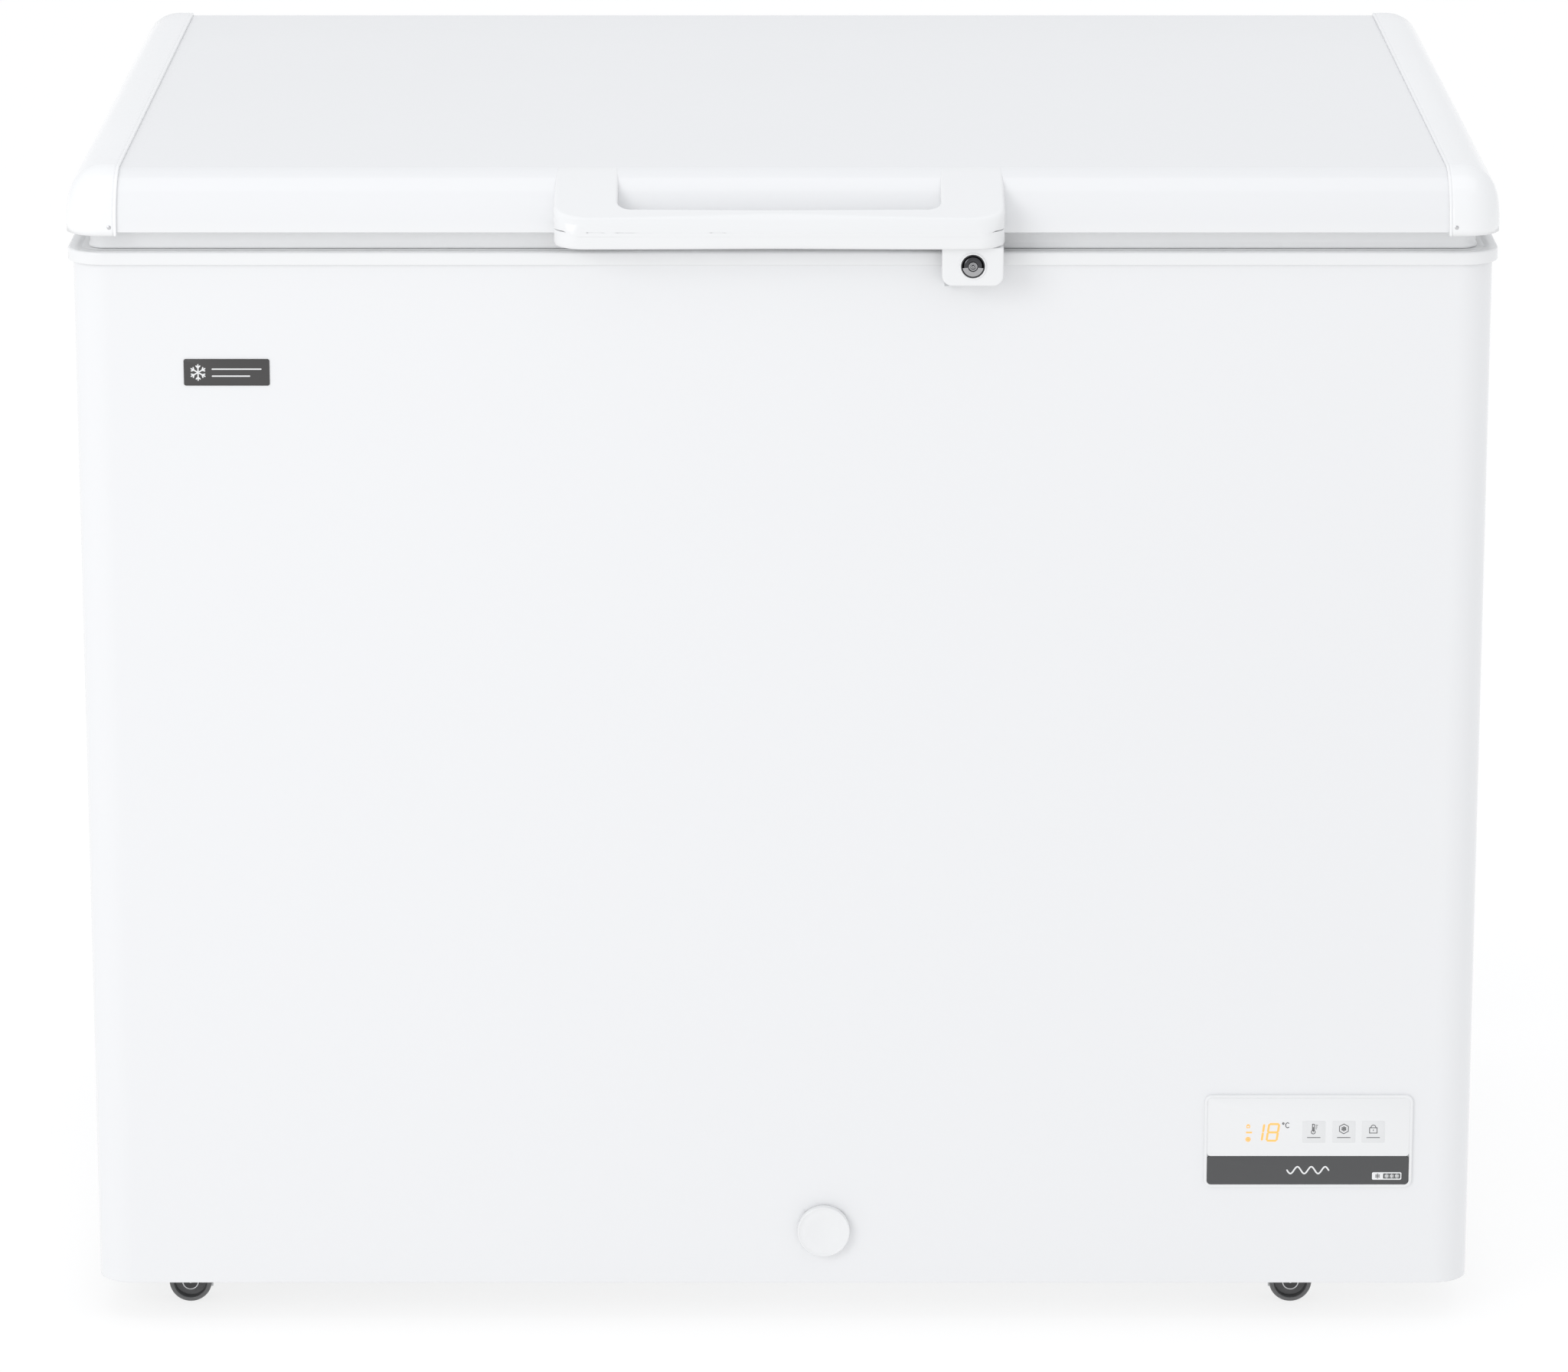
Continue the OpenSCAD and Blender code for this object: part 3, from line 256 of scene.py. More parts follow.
def make_wrap():
    """Carries the plan up the height as a grid, takes out the window's one quad, and fills it
    with a fan from its corners to a circle."""
    half, edge = 16 * mm, 0.4 * mm
    plan = wrap_path((drain_x - half, drain_x + half))
    heights = np.array([wrap_lo[2], wrap_lo[2] + edge, drain_z - half, drain_z + half,
                        wrap_hi[2] - edge, wrap_hi[2]])
    rows, cols = len(heights), len(plan)
    points = np.zeros((rows, cols, 3))
    points[:, :, :2] = plan
    points[:, :, 2] = heights[:, None]
    index = np.arange(rows * cols).reshape(rows, cols)
    quads = np.stack([index[:-1, :-1], index[:-1, 1:], index[1:, 1:], index[1:, :-1]], -1)
    window_row, window_col = 2, corner_steps + 3
    keep = np.ones(quads.shape[:2], bool)
    keep[window_row, window_col] = False
    corners = quads[window_row, window_col]
    # The circle starts towards the window's lower left corner, as its corners do.
    steps, lower_left = 48, -0.75 * math.pi
    angle = np.linspace(0, 2 * math.pi, steps, endpoint=False) + lower_left
    ring = np.stack([drain_x + drain_hole_r * np.cos(angle), np.full(steps, wrap_lo[1]),
                     drain_z + drain_hole_r * np.sin(angle)], -1)
    first = rows * cols
    faces = quads[keep].tolist()
    quarter = steps // 4
    for k in range(4):
        here, there = corners[k], corners[(k + 1) % 4]
        run = [first + (k * quarter + i) % steps for i in range(quarter + 1)]
        mid = quarter // 2
        faces += [(here, run[i + 1], run[i]) for i in range(mid)]
        faces += [(there, run[i + 1], run[i]) for i in range(mid, quarter)]
        faces.append((here, there, run[mid]))
    obj = mesh_object("cabinet_wrap", np.concatenate([points.reshape(-1, 3), ring]), faces)
    return solid_sheet(obj, sheet_t)


dress(make_wrap(), "cabinet", white_paint, "white_paint", "outer_wrap")

# ---------------------------------------------------------------- Top collar
# A white moulded frame that caps the sheet, the foam and the liner. Its outer band stands
# 3.5 mm proud with a soft top edge, and its throat runs down into the mouth.
white_plastic = finish("white_gloss_plastic", (0.83, 0.835, 0.84), (0.18, 0.23), (700.0, 0.03),
                       0.005)


def outline(x0, x1, y0, y1, radii, steps=10):
    """Closed rounded rectangle, anticlockwise from its left front corner, one arc a corner."""
    t = np.linspace(0, math.pi / 2, steps + 1)
    corners = ((x0, y0, 1, 1, 2), (x1, y0, -1, 1, 3), (x1, y1, -1, -1, 0), (x0, y1, 1, -1, 1))
    arcs = []
    for (x, y, sx, sy, quarter), r in zip(corners, radii):
        a = t + quarter * math.pi / 2
        arcs.append(np.stack([x + sx * r + r * np.cos(a), y + sy * r + r * np.sin(a)], -1))
    return np.concatenate(arcs)


def flat(points, height, axis=2):
    """Lifts a plan outline to a height: axis 2 stands on the floor, axis 1 faces the front,
    where the outline's second number is height above the floor."""
    full = np.full((len(points), 1), height)
    if axis == 2:
        return np.hstack([points, full])
    return np.hstack([points[:, :1], full, points[:, 1:]])


def loft(rings, closed=True, loop=False):
    """Skins a stack of rings with quads. closed joins each ring's end to its start, and loop
    joins the last ring to the first. Closed rings without a loop get a cap at both ends."""
    rings = np.asarray(rings)
    rows, cols = rings.shape[:2]
    index = np.arange(rows * cols).reshape(rows, cols)
    a = index if closed else index[:, :-1]
    b = np.roll(index, -1, 1) if closed else index[:, 1:]
    if loop:
        c, d = np.roll(b, -1, 0), np.roll(a, -1, 0)
    else:
        a, b, c, d = a[:-1], b[:-1], b[1:], a[1:]
    faces = np.stack([a, b, c, d], -1).reshape(-1, 4).tolist()
    if closed and not loop:
        faces += [index[0][::-1].tolist(), index[-1].tolist()]
    return rings.reshape(-1, 3), faces


def join(parts):
    """Puts several computed shells into one list of points and one of faces."""
    points, faces, first = [], [], 0
    for p, f in parts:
        points.append(p)
        faces += [[i + first for i in face] for face in f]
        first += len(p)
    return np.concatenate(points), faces


def framed(lo, hi, radii, profile, axis=2, steps=10):
    """A stack of outlines: each profile row is an inset from the box's sides and a place
    along the axis, so the shape is the profile carried round a rounded rectangle."""
    rings, least = [], 0.2 * mm
    for inset, place in profile:
        shrunk = [max(r - inset, least) for r in radii]
        rings.append(flat(outline(lo[0] + inset, hi[0] - inset, lo[1] + inset, hi[1] - inset,
                                  shrunk, steps), place, axis))
    return rings


def make_collar():
    """Two profiles of inset and height, carried round two rounded rectangles and joined into
    one closed ring: the outer band's, then that of the throat, just inside the liner."""
    lo, hi = (np.array(v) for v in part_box("top_collar"))
    top, low = hi[2], lo[2]
    band, wall, under = 9 * mm, 2.3 * mm, 5 * mm
    front_r, rear_r = 27 * mm, 8 * mm
    liner_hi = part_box("inner_liner")[1]
    step, throat_r = 3.5 * mm, 16.7 * mm
    throat_x, throat_y = liner_hi[0] - step, liner_hi[1] - step
    outer_rows = [
        (3.2 * mm, top - under), (3.2 * mm, top - band), (0.5 * mm, top - band),
        (0.12 * mm, top - band + 0.15 * mm), (0, top - band + 0.5 * mm), (0, top - 1.5 * mm),
        (0.13 * mm, top - 0.9 * mm), (0.45 * mm, top - 0.4 * mm), (1.0 * mm, top - 0.1 * mm),
        (1.6 * mm, top), (9.0 * mm, top), (9.6 * mm, top - 0.15 * mm), (10.2 * mm, top)]
    throat_rows = [
        (-2.4 * mm, top), (-1.0 * mm, top - 0.3 * mm), (-0.3 * mm, top - 1.0 * mm),
        (0, top - 2.4 * mm), (0, low + 0.5 * mm), (-0.4 * mm, low), (-wall, low),
        (-wall, top - under)]
    rings = framed(lo, hi, [front_r, front_r, rear_r, rear_r], outer_rows)
    rings += framed((-throat_x, -throat_y), (throat_x, throat_y), [throat_r] * 4, throat_rows)
    return mesh_object("collar", *loft(rings, loop=True), sharp=40)


dress(make_collar(), "cabinet", white_plastic, "white_gloss_plastic", "top_collar")

# ---------------------------------------------------------------- Lid gasket
# A soft white rubber extrusion, pressed in under the lid's edge. Its outer wall bellies
# slightly and turns under in a small bead where it meets the collar.
gasket_white = finish("gasket_white", (0.86, 0.865, 0.87), (0.4, 0.5), (900.0, 0.08), 0.01)


def make_gasket():
    """A closed profile of inset and height, in millimetres, stretched to the gasket's height
    and carried round its outline."""
    lo, hi = (np.array(v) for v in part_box("lid_gasket"))
    top, low = hi[2], lo[2]
    full, corner = 13.9, 12 * mm
    profile = [(1.0, full), (1.6, 12.6), (1.4, 9.0), (0.8, 5.2), (0.9, 3.6), (0.25, 2.6), (0, 1.4),
               (0.3, 0.4), (1.1, 0), (15.6, 0), (17.2, 0.6), (17.8, 2.2), (17.0, 4.5), (16.6, 9.0),
               (17.0, full)]
    scale = (top - low) / (full * mm)
    rows = [(d * mm, low + h * mm * scale) for d, h in profile]
    rings = framed(lo, hi, [corner] * 4, rows, steps=8)
    return mesh_object("gasket", *loft(rings, loop=True), sharp=50)


dress(make_gasket(), "lid", gasket_white, "gasket_rubber", "lid_gasket")

# ---------------------------------------------------------------- Lid panel
# Painted steel, rolled over the front to a faint crease, turned down at the back and hemmed
# inwards along both lower edges.
roll_run = 36 * mm
roll_end = 94.0
roll_steps = 28


def arc(centre, radius, start, stop, steps):
    """Points on an arc: the centre plus the radius along evenly spaced angles, in degrees."""
    a = np.radians(np.linspace(start, stop, steps + 1))
    return np.stack([centre[0] + radius * np.cos(a), centre[1] + radius * np.sin(a)], -1)


def front_roll(y0, z1, inset, run):
    """The rounded front at an inset: an ellipse from upright to just past its top, where it
    meets the flat in a faint crease, and a point just behind that."""
    end = math.radians(roll_end)
    wide = run / (1 + math.cos(end))
    tall = run / math.sin(end)
    a = np.radians(np.append(np.linspace(180, roll_end + 1, roll_steps), roll_end))
    depth = y0 + wide + (wide - inset) * np.cos(a)
    height = z1 - run + (tall - inset) * np.sin(a)
    curve = np.stack([depth, height], -1)
    curve[-1, 1] = z1 - inset
    behind = 0.6 * mm
    return np.concatenate([curve, [curve[-1] + [behind, 0]]])


def make_lid_panel():
    """A closed section in the plane of depth and height, carried from side to side."""
    y0, y1, z0, z1 = lid_lo[1], lid_hi[1], lid_lo[2], lid_hi[2]
    hem, back_r, fold = 10 * mm, 6 * mm, 0.8 * mm
    nearly = 0.99

    def skin(g):
        """The sheet's outer face at g = 0, or its inner face at the sheet's thickness."""
        return np.concatenate([
            [[y0 + hem, z0 + g]], [[y0 + fold, z0 + g]],
            arc((y0 + fold, z0 + fold), fold - g * nearly, 270, 180, 4),
            front_roll(y0, z1, g, roll_run),
            arc((y1 - back_r, z1 - back_r), back_r - g, 90, 0, 8),
            arc((y1 - fold, z0 + fold), fold - g * nearly, 0, -90, 4),
            [[y1 - hem, z0 + g]]])

    section = np.concatenate([skin(0), skin(sheet_t)[::-1]])
    rings = [np.column_stack([np.full(len(section), x), section])
             for x in (lid_lo[0], lid_hi[0])]
    return mesh_object("lid_panel_sheet", *loft(rings), sharp=35)


dress(make_lid_panel(), "lid", white_paint, "white_paint", "lid_panel")

# ---------------------------------------------------------------- End caps
# Moulded plastic caps over both ends of the lid, with a narrow raised lip over the panel's
# edge. A plated screw at each corner holds them, and a small plate closes each corner from
# below.
cap_crown_r = 26 * mm
cap_rear_r = 8 * mm
cap_wall = 2.3 * mm


def cap_section(inner, outer):
    """Across the cap from the panel to the side: the lip, a fine groove, the flat crown and
    the quarter round. Each row is a place across and an inset from the crown."""
    lip = [(0, 2.0), (0, 0.7), (0.1, 0.35), (0.35, 0.1), (0.7, 0), (1.5, 0), (1.8, 0.1),
           (2.0, 0.45), (2.3, 0.5), (2.6, 0.25), (3.1, 0.05), (3.8, 0)]
    rows = [(inner + d * mm, i * mm) for d, i in lip]
    a = np.linspace(0, math.pi / 2, corner_steps + 1)
    across = outer - cap_crown_r + cap_crown_r * np.sin(a)
    return np.array(rows + list(zip(across, cap_crown_r * (1 - np.cos(a)))))


def cap_path(inset, lo, hi):
    """Along the cap's length, at an inset from its crown: up the front, round the roll, along
    the top, round the small rear radius and down."""
    y0, y1, z0, z1 = lo[1] + inset, hi[1] - inset, lo[2], hi[2] - inset
    rear, least, flat_end = cap_rear_r - inset, 0.4 * mm, 60 * mm
    rear = max(rear, least)
    return np.concatenate([
        [[y0, z0]], front_roll(lo[1], hi[2], inset, roll_run + lid_lo[1] - lo[1]),
        [[hi[1] - flat_end, z1]], arc((y1 - rear, z1 - rear), rear, 90, 0, 8), [[y1, z0]]])


def make_cap(name, side):
    """Sweeps the section along the path and closes the flat side down to the lower edge."""
    lo, hi = (np.array(v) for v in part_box("end_cap_right"))
    rows = []
    for x, inset in cap_section(lo[0], hi[0]):
        path = cap_path(inset, lo, hi)
        rows.append(np.column_stack([np.full(len(path), x * side), path]))
    edge = 0.4 * mm
    foot, brow = rows[-1].copy(), rows[-1].copy()
    foot[:, 2] = lo[2]
    brow[:, 2] = np.minimum(rows[-1][:, 2], lo[2] + edge)
    rows += [brow, foot]
    obj = mesh_object(name, *loft(rows, closed=False), sharp=40)
    return solid_sheet(obj, cap_wall)


def revolve(profile, centre, steps=64):
    """Turns a profile of radius and depth about an axis through a centre that runs from the
    front to the back: each row becomes a circle of its radius at its depth."""
    a = np.linspace(0, 2 * math.pi, steps, endpoint=False)
    rows = []
    for r, place in profile:
        rows.append(np.stack([centre[0] + r * np.cos(a), centre[1] + np.full(steps, place),
                              centre[2] + r * np.sin(a)], -1))
    return loft(rows)


# Where a turned profile meets its axis, its radius in millimetres is too small to see.
pole = 0.001


def stud(place, facing, radius, rise, root):
    """A low dome on a short stem, whose face looks along -1 or +1 in depth."""
    rows = [(pole * mm, rise), (0.55 * radius, 0.85 * rise), (0.87 * radius, 0.4 * rise),
            (radius, 0.0), (radius, -root), (pole * mm, -root)]
    return revolve([(r, facing * y) for r, y in rows[::-facing]], place, steps=32)


def make_cap_floors():
    """Four small plates that close the caps' corners from below, each following the inside
    of its cap from the front to the edge of the liner's flange."""
    cap_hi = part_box("end_cap_right")[1]
    wall, bend, thick = 2.8 * mm, 23.2 * mm, 0.8 * mm
    z0 = lid_lo[2] + 0.1 * mm
    x_in, x_out = lid_hi[0] - 0.5 * mm, cap_hi[0] - wall
    y_in, y_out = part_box("lid_liner")[1][1] + 0.2 * mm, cap_hi[1] - wall
    a = np.linspace(math.pi / 2, math.asin((y_in - y_out + bend) / bend), 13)
    curve = np.stack([x_out - bend + bend * np.cos(a), y_out - bend + bend * np.sin(a)], -1)
    corner = np.concatenate([[[x_in, y_in], [x_in, y_out]], curve])
    shells = []
    for x, y in ((-1, -1), (1, -1), (1, 1), (-1, 1)):
        shells.append(loft([flat(corner * [x, y], z) for z in (z0, z0 + thick)]))
    return mesh_object("cap_floors", *join(shells), sharp=40)


cap_white = finish("cap_white", (0.89, 0.895, 0.9), (0.16, 0.24), (450.0, 0.05), 0.01)
for side, label in ((-1, "left"), (1, "right")):
    dress(make_cap("cap_" + label, side), "lid", cap_white, "white_gloss_plastic",
          "end_cap_" + label)
dress(make_cap_floors(), "lid", cap_white, "white_gloss_plastic")

plated = finish("plated_steel", (0.6, 0.6, 0.61), (0.2, 0.34), (700.0, 0.04), 0.06, metallic=1.0)
screw_lo, screw_hi = (np.array(v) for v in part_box("cap_screws"))
screw_x, screw_z = screw_hi[0] - 2.4 * mm, (screw_lo[2] + screw_hi[2]) / 2
cap_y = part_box("end_cap_left")[1][1]
head_r, head_rise, head_root = 1.5 * mm, 0.4 * mm, 1 * mm
screw_heads = [stud((screw_x * x, cap_y * y, screw_z), y, head_r, head_rise, head_root)
               for x in (-1, 1) for y in (-1, 1)]
dress(mesh_object("cap_screw_heads", *join(screw_heads), sharp=40), "lid", plated,
      "plated_steel", "cap_screws")

# ---------------------------------------------------------------- Handle
# Two white plastic mouldings that meet at a fine parting line: an upper shell that flows down
# from the lid's top line to a rounded nose, and a lower shell with a soft bottom edge.
handle_lo, handle_hi = (np.array(v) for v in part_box("handle_upper"))
part_z = handle_lo[2]
grip_depth = 15 * mm
arm_width = 44 * mm
handle_corner_r, grip_corner_r = 18 * mm, 11 * mm
handle_edge_r, handle_nose_r = 2.2 * mm, 11 * mm


def fillet(distance, radius):
    """How far a rounded edge has dropped at a distance in from the edge: a quarter circle of
    the radius, and nothing further in."""
    near = np.minimum(distance, radius)
    return radius - np.sqrt(np.maximum(radius ** 2 - (radius - near) ** 2, 0))


def handle_rails(rear_y, steps):
    """The handle's outer and inner plan lines, with the same number of points on each: back
    along the left arm, round the front and back along the right arm."""
    x0, x1, y0 = handle_lo[0], handle_hi[0], handle_lo[1]
    a = np.linspace(0, math.pi / 2, corner_steps + 1)
    arm = np.linspace(0, 1, steps)[:, None]

    def rail(left, right, front, r):
        """One line: a straight arm, a quarter circle, the bar, and both again mirrored."""
        back_l, start_l = np.array([left, rear_y]), np.array([left, front + r])
        straight = back_l + (start_l - back_l) * arm
        curve = np.stack([left + r * (1 - np.cos(a)), front + r * (1 - np.sin(a))], -1)
        bar_x = np.linspace(left + r, right - r, 14)[1:-1]
        bar = np.column_stack([bar_x, np.full(len(bar_x), front)])
        half = np.concatenate([straight[:-1], curve])
        mirrored = half[::-1] * [-1, 1] + [left + right, 0]
        return np.concatenate([half, bar, mirrored])

    outer = rail(x0, x1, y0, handle_corner_r)
    inner = rail(x0 + arm_width, x1 - arm_width, y0 + grip_depth, grip_corner_r)
    front_share = np.clip((y0 + handle_corner_r - outer[:, 1]) / handle_corner_r, 0, 1)
    return outer, inner, front_share


def between_rails(outer, inner, count):
    """Places from the outer rail to the inner one, closer together near both, and how far
    each is from the one and from the other."""
    u = 0.5 - 0.5 * np.cos(np.linspace(0, math.pi, count))
    across = outer[:, None] + (inner - outer)[:, None] * u[None, :, None]
    width = np.linalg.norm(inner - outer, axis=1)[:, None]
    return across, u * width, (1 - u) * width


def handle_shell(name, across, top, under):
    """A closed section at each point of the rails: inwards along its top and back outwards
    along its underside."""
    upper = np.dstack([across, top])
    lower = np.dstack([across, under])[:, ::-1]
    return mesh_object(name, *loft(np.concatenate([upper, lower], 1)), sharp=38)


def make_handle_upper():
    """At each point of the rails, a closed section: a top that slopes away from the lid and
    rounds off at both rails, and an underside at the parting line or on the lid's roll."""
    lid_y = lid_lo[1] + roll_run
    outer, inner, share = handle_rails(lid_y, 22)
    nose = handle_edge_r + (handle_nose_r - handle_edge_r) * share ** 1.5
    across, d_out, d_in = between_rails(outer, inner, 41)
    fall = lid_y - across[:, :, 1]
    ease, steepness = 9 * mm, 2.62
    slope = lid_hi[2] - (np.sqrt(fall ** 2 + ease ** 2) - ease) / steepness
    top = slope - fillet(d_out, nose[:, None]) - fillet(d_in, 1.8 * mm)
    gap, clear, thin = 0.25 * mm, 0.15 * mm, 0.02 * mm
    skin = front_roll(lid_lo[1], lid_hi[2], 0, roll_run)
    roll = np.interp(across[:, :, 1], skin[:, 0], skin[:, 1], left=0)
    roll = np.where(roll > 0, roll + clear, part_z)
    under = np.minimum(np.maximum(part_z + gap, roll), top - thin)
    return handle_shell("handle_top_shell", across, top, under)


def make_handle_lower():
    """The same rails, cut short at the lid's front, between the parting line and a bottom
    with a soft outer edge."""
    lo, hi = (np.array(v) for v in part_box("handle_lower"))
    outer, inner, share = handle_rails(lid_lo[1] - 0.3 * mm, 10)
    soft = 2.5 * mm + 2.5 * mm * share
    across, d_out, d_in = between_rails(outer, inner, 33)
    top = hi[2] - 0.4 * mm - fillet(d_out, 0.6 * mm) - fillet(d_in, 0.4 * mm)
    under = lo[2] + fillet(d_out, soft[:, None]) + fillet(d_in, 1.5 * mm)
    return handle_shell("handle_bottom_shell", across, top, under)


dress(make_handle_upper(), "lid", white_plastic, "white_gloss_plastic", "handle_upper")
dress(make_handle_lower(), "lid", white_plastic, "white_gloss_plastic", "handle_lower")

# ---------------------------------------------------------------- Lock
# A white moulded housing under the handle's right arm. A chromed barrel with a dished face turns
# in its raised ring, round the bright ring and pin of a tubular keyway. The barrel's chrome is
# painted near black, a painted dark reflection over its face, and a lighter chrome half-moon over
# the lower half of the face is a painted bright reflection.
lock_lo, lock_hi = (np.array(v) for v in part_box("lock_housing"))
lock_x = (lock_lo[0] + lock_hi[0]) / 2
lock_z = lock_hi[2] - 13.1 * mm
lock_face_y = lock_lo[1]
lock_front = lock_face_y - 0.2 * mm
lock_axis = (lock_x, lock_front, lock_z)


def radial(lo, hi, radii, centre, angles):
    """Where rays from a centre meet a rounded rectangle: bisection on its signed distance."""
    furthest, halvings = 0.2, 40
    near, far = np.zeros(len(angles)), np.full(len(angles), furthest)
    mid = (np.array(lo) + hi) / 2
    half = (np.array(hi) - lo) / 2
    for _ in range(halvings):
        r = (near + far) / 2
        p = np.stack([centre[0] + r * np.cos(angles), centre[1] + r * np.sin(angles)], -1) - mid
        rad = np.where(p[:, 1] < 0, radii[0], radii[1])
        q = np.abs(p) - half + rad[:, None]
        sd = np.linalg.norm(np.maximum(q, 0), axis=1) + np.minimum(q.max(1), 0) - rad
        near, far = np.where(sd < 0, r, near), np.where(sd < 0, far, r)
    return np.stack([centre[0] + near * np.cos(angles), centre[1] + near * np.sin(angles)], -1)


def make_lock_housing():
    """Rings from the back of the housing to its front edge, in to the raised ring round the
    cylinder and down its bore."""
    a = np.linspace(0, 2 * math.pi, 96, endpoint=False)
    front, back = lock_face_y + 1 * mm, lock_hi[1]
    lo, hi = (lock_lo[0], lock_lo[2]), (lock_hi[0], lock_hi[2] - 0.05 * mm)
    low_r, top_r, top_inset = 7 * mm, 1 * mm, 0.3 * mm
    rings = []
    for inset, y in ((0, back), (0, front + 1.4 * mm), (0.12 * mm, front + 0.8 * mm),
                     (0.45 * mm, front + 0.35 * mm), (1.0 * mm, front + 0.08 * mm),
                     (1.6 * mm, front)):
        box_lo = (lo[0] + inset, lo[1] + inset)
        box_hi = (hi[0] - inset, hi[1] - min(inset, top_inset))
        edge = radial(box_lo, box_hi, (low_r - inset, top_r), (lock_x, lock_z), a)
        rings.append(flat(edge, y, 1))
    circle = np.stack([np.cos(a), np.sin(a)], -1)
    for r, y in ((9.6, 0), (9.45, -0.3), (9.3, -0.75), (9.0, -1.0), (8.6, -1.0), (8.3, -0.75),
                 (8.15, -0.3), (8.1, 6.0)):
        rings.append(flat(circle * r * mm + [lock_x, lock_z], front + y * mm, 1))
    return mesh_object("lock_housing_shell", *loft(rings), sharp=40)


chrome = finish("chrome", (0.42, 0.42, 0.43), (0.1, 0.16), (1500.0, 0.02), 0.02, metallic=1.0)
dress(make_lock_housing(), "lid", white_plastic, "white_gloss_plastic", "lock_housing")


def turned(name, rows, centre, steps=64, sharp=25):
    """A piece turned about a centre from radii and depths in millimetres."""
    profile = [(r * mm, y * mm) for r, y in rows]
    return mesh_object(name, *revolve(profile, centre, steps=steps), sharp=sharp)


def make_lock_barrel():
    """Turned from the bottom of the keyway out over the dished face to the rim, back along
    the barrel and in to the spindle behind it."""
    keyway, barrel = 6.0, 24.5
    spindle = (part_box("lock_cylinder")[1][1] - lock_front) / mm
    rows = [(pole, keyway), (1.9, keyway), (1.9, 0.5), (2.1, 0.15), (2.6, 0.0), (3.0, 0.15),
            (3.2, 1.0), (4.0, 0.85), (5.0, 0.85), (6.0, 1.1), (6.7, 1.6), (7.15, 2.3), (7.35, 0.6),
            (7.5, 0.35), (7.8, 0.35), (7.98, 0.55), (8.02, 0.9), (8.02, barrel), (3.0, barrel),
            (3.0, spindle), (pole, spindle)]
    return turned("lock_barrel", rows, lock_axis, steps=72)


def make_painted_reflection_half():
    """A polished facet over the lower half of the dished face, whose lighter chrome is a painted
    bright reflection: arcs of growing radius, each at its own depth, from the key ring to the rim,
    slightly squeezed in height."""
    first_angle, last_angle = 186, 354
    a = np.radians(np.linspace(first_angle, last_angle, 49))
    drop, squeeze, thick = 0.5 * mm, 0.96, 0.5 * mm
    rows = []
    for r, y in ((3.25, 1.2), (3.3, 0.75), (3.5, 0.62), (5.2, 0.5), (6.9, 0.55), (7.2, 0.7),
                 (7.25, 1.6)):
        rows.append(np.stack([lock_x + r * mm * np.cos(a), np.full(len(a), lock_front + y * mm),
                              lock_z - drop + r * mm * np.sin(a) * squeeze], -1))
    rows.append(rows[0] + [0, thick, 0])
    points, faces = loft(rows, closed=False, loop=True)
    first_end = [k * len(a) for k in range(len(rows))]
    ends = [first_end, [k + len(a) - 1 for k in first_end]]
    return mesh_object("lock_painted_reflection_half", points, faces + ends, sharp=25)


# Chrome darkened to near black: a painted dark reflection over the barrel's dished face.
chrome_painted_dark_reflection = finish("chrome_painted_dark_reflection", (0.07, 0.07, 0.075), (0.1, 0.16), (1500.0, 0.02), 0.05,
                     metallic=1.0)
dress(make_lock_barrel(), "lock", chrome_painted_dark_reflection, "chrome", "lock_cylinder")
# The half-moon's lighter chrome is a painted bright reflection on the lower half of the face.
dress(make_painted_reflection_half(), "lock", chrome, "chrome")
key_ring = [(2.5, 1.5), (2.05, 1.5), (2.1, 0.1), (2.3, -0.1), (2.75, -0.1), (2.95, 0.1),
            (3.0, 1.5), (2.5, 1.5)]
dress(turned("lock_key_ring", key_ring, lock_axis), "lock", chrome, "chrome")
key_pin = [(pole, -0.05), (0.7, 0.1), (1.1, 0.6), (1.2, 1.2), (1.2, 6.0)]
dress(turned("lock_pin", key_pin, lock_axis, steps=32), "lock", chrome, "chrome")

# ---------------------------------------------------------------- Display
# A moulded panel snapped into the front at the lower right: a white frame round a pale window
# with an amber temperature and three touch keys, and a dark strip below them.
panel_lo, panel_hi = (np.array(v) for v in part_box("display_bezel"))
panel_mid = (panel_lo + panel_hi) / 2
window_frame = 2.2 * mm
window_r = 2.4 * mm
panel_corner_r = 5.5 * mm


def make_display_frame():
    """A rounded profile carried round the panel's outline, from its side to the window's edge."""
    front, back = panel_lo[1], panel_hi[1]
    lo, hi = (panel_lo[0], panel_lo[2]), (panel_hi[0], panel_hi[2])
    w = window_frame
    rows = [(0, back), (0, front + 0.8 * mm), (0.12 * mm, front + 0.35 * mm),
            (0.5 * mm, front + 0.05 * mm), (1.0 * mm, front), (w - 0.7 * mm, front),
            (w - 0.3 * mm, front + 0.1 * mm), (w, front + 0.5 * mm), (w, back)]
    rings = framed(lo, hi, [panel_corner_r] * 4, rows, 1)
    return mesh_object("display_frame", *loft(rings, loop=True), sharp=35)


def plate(name, lo, hi, radius, back, front, edge=0.15 * mm):
    """An upright plate between two heights and two places across, with a softened front."""
    radii = [radius] * 4
    rows = [(0, back), (0, front + edge), (edge * 0.3, front + edge * 0.3), (edge, front)]
    return mesh_object(name, *loft(framed(lo, hi, radii, rows, 1, 6)), sharp=50)


def strokes(name, segments, width, back, front):
    """Flat marks with round ends: each segment runs between two places on the upright face.
    Neighbours stand a hair apart in depth, so that no two faces lie in one plane."""
    a = np.radians(np.linspace(90, 270, 9))
    hair, levels, never_zero = 0.006 * mm, 5, 1e-9
    shells = []
    for k, (x0, z0, x1, z1) in enumerate(segments):
        run = np.array([x1 - x0, z1 - z0]) + never_zero
        along = run / np.linalg.norm(run)
        across = np.array([-along[1], along[0]])
        cap = np.cos(a)[:, None] * along + np.sin(a)[:, None] * across
        loop = np.concatenate([[x0, z0] + cap * width / 2, [x1, z1] - cap * width / 2])
        shells.append(loft([flat(loop, back, 1), flat(loop, front - k % levels * hair, 1)]))
    return mesh_object(name, *join(shells), sharp=50)


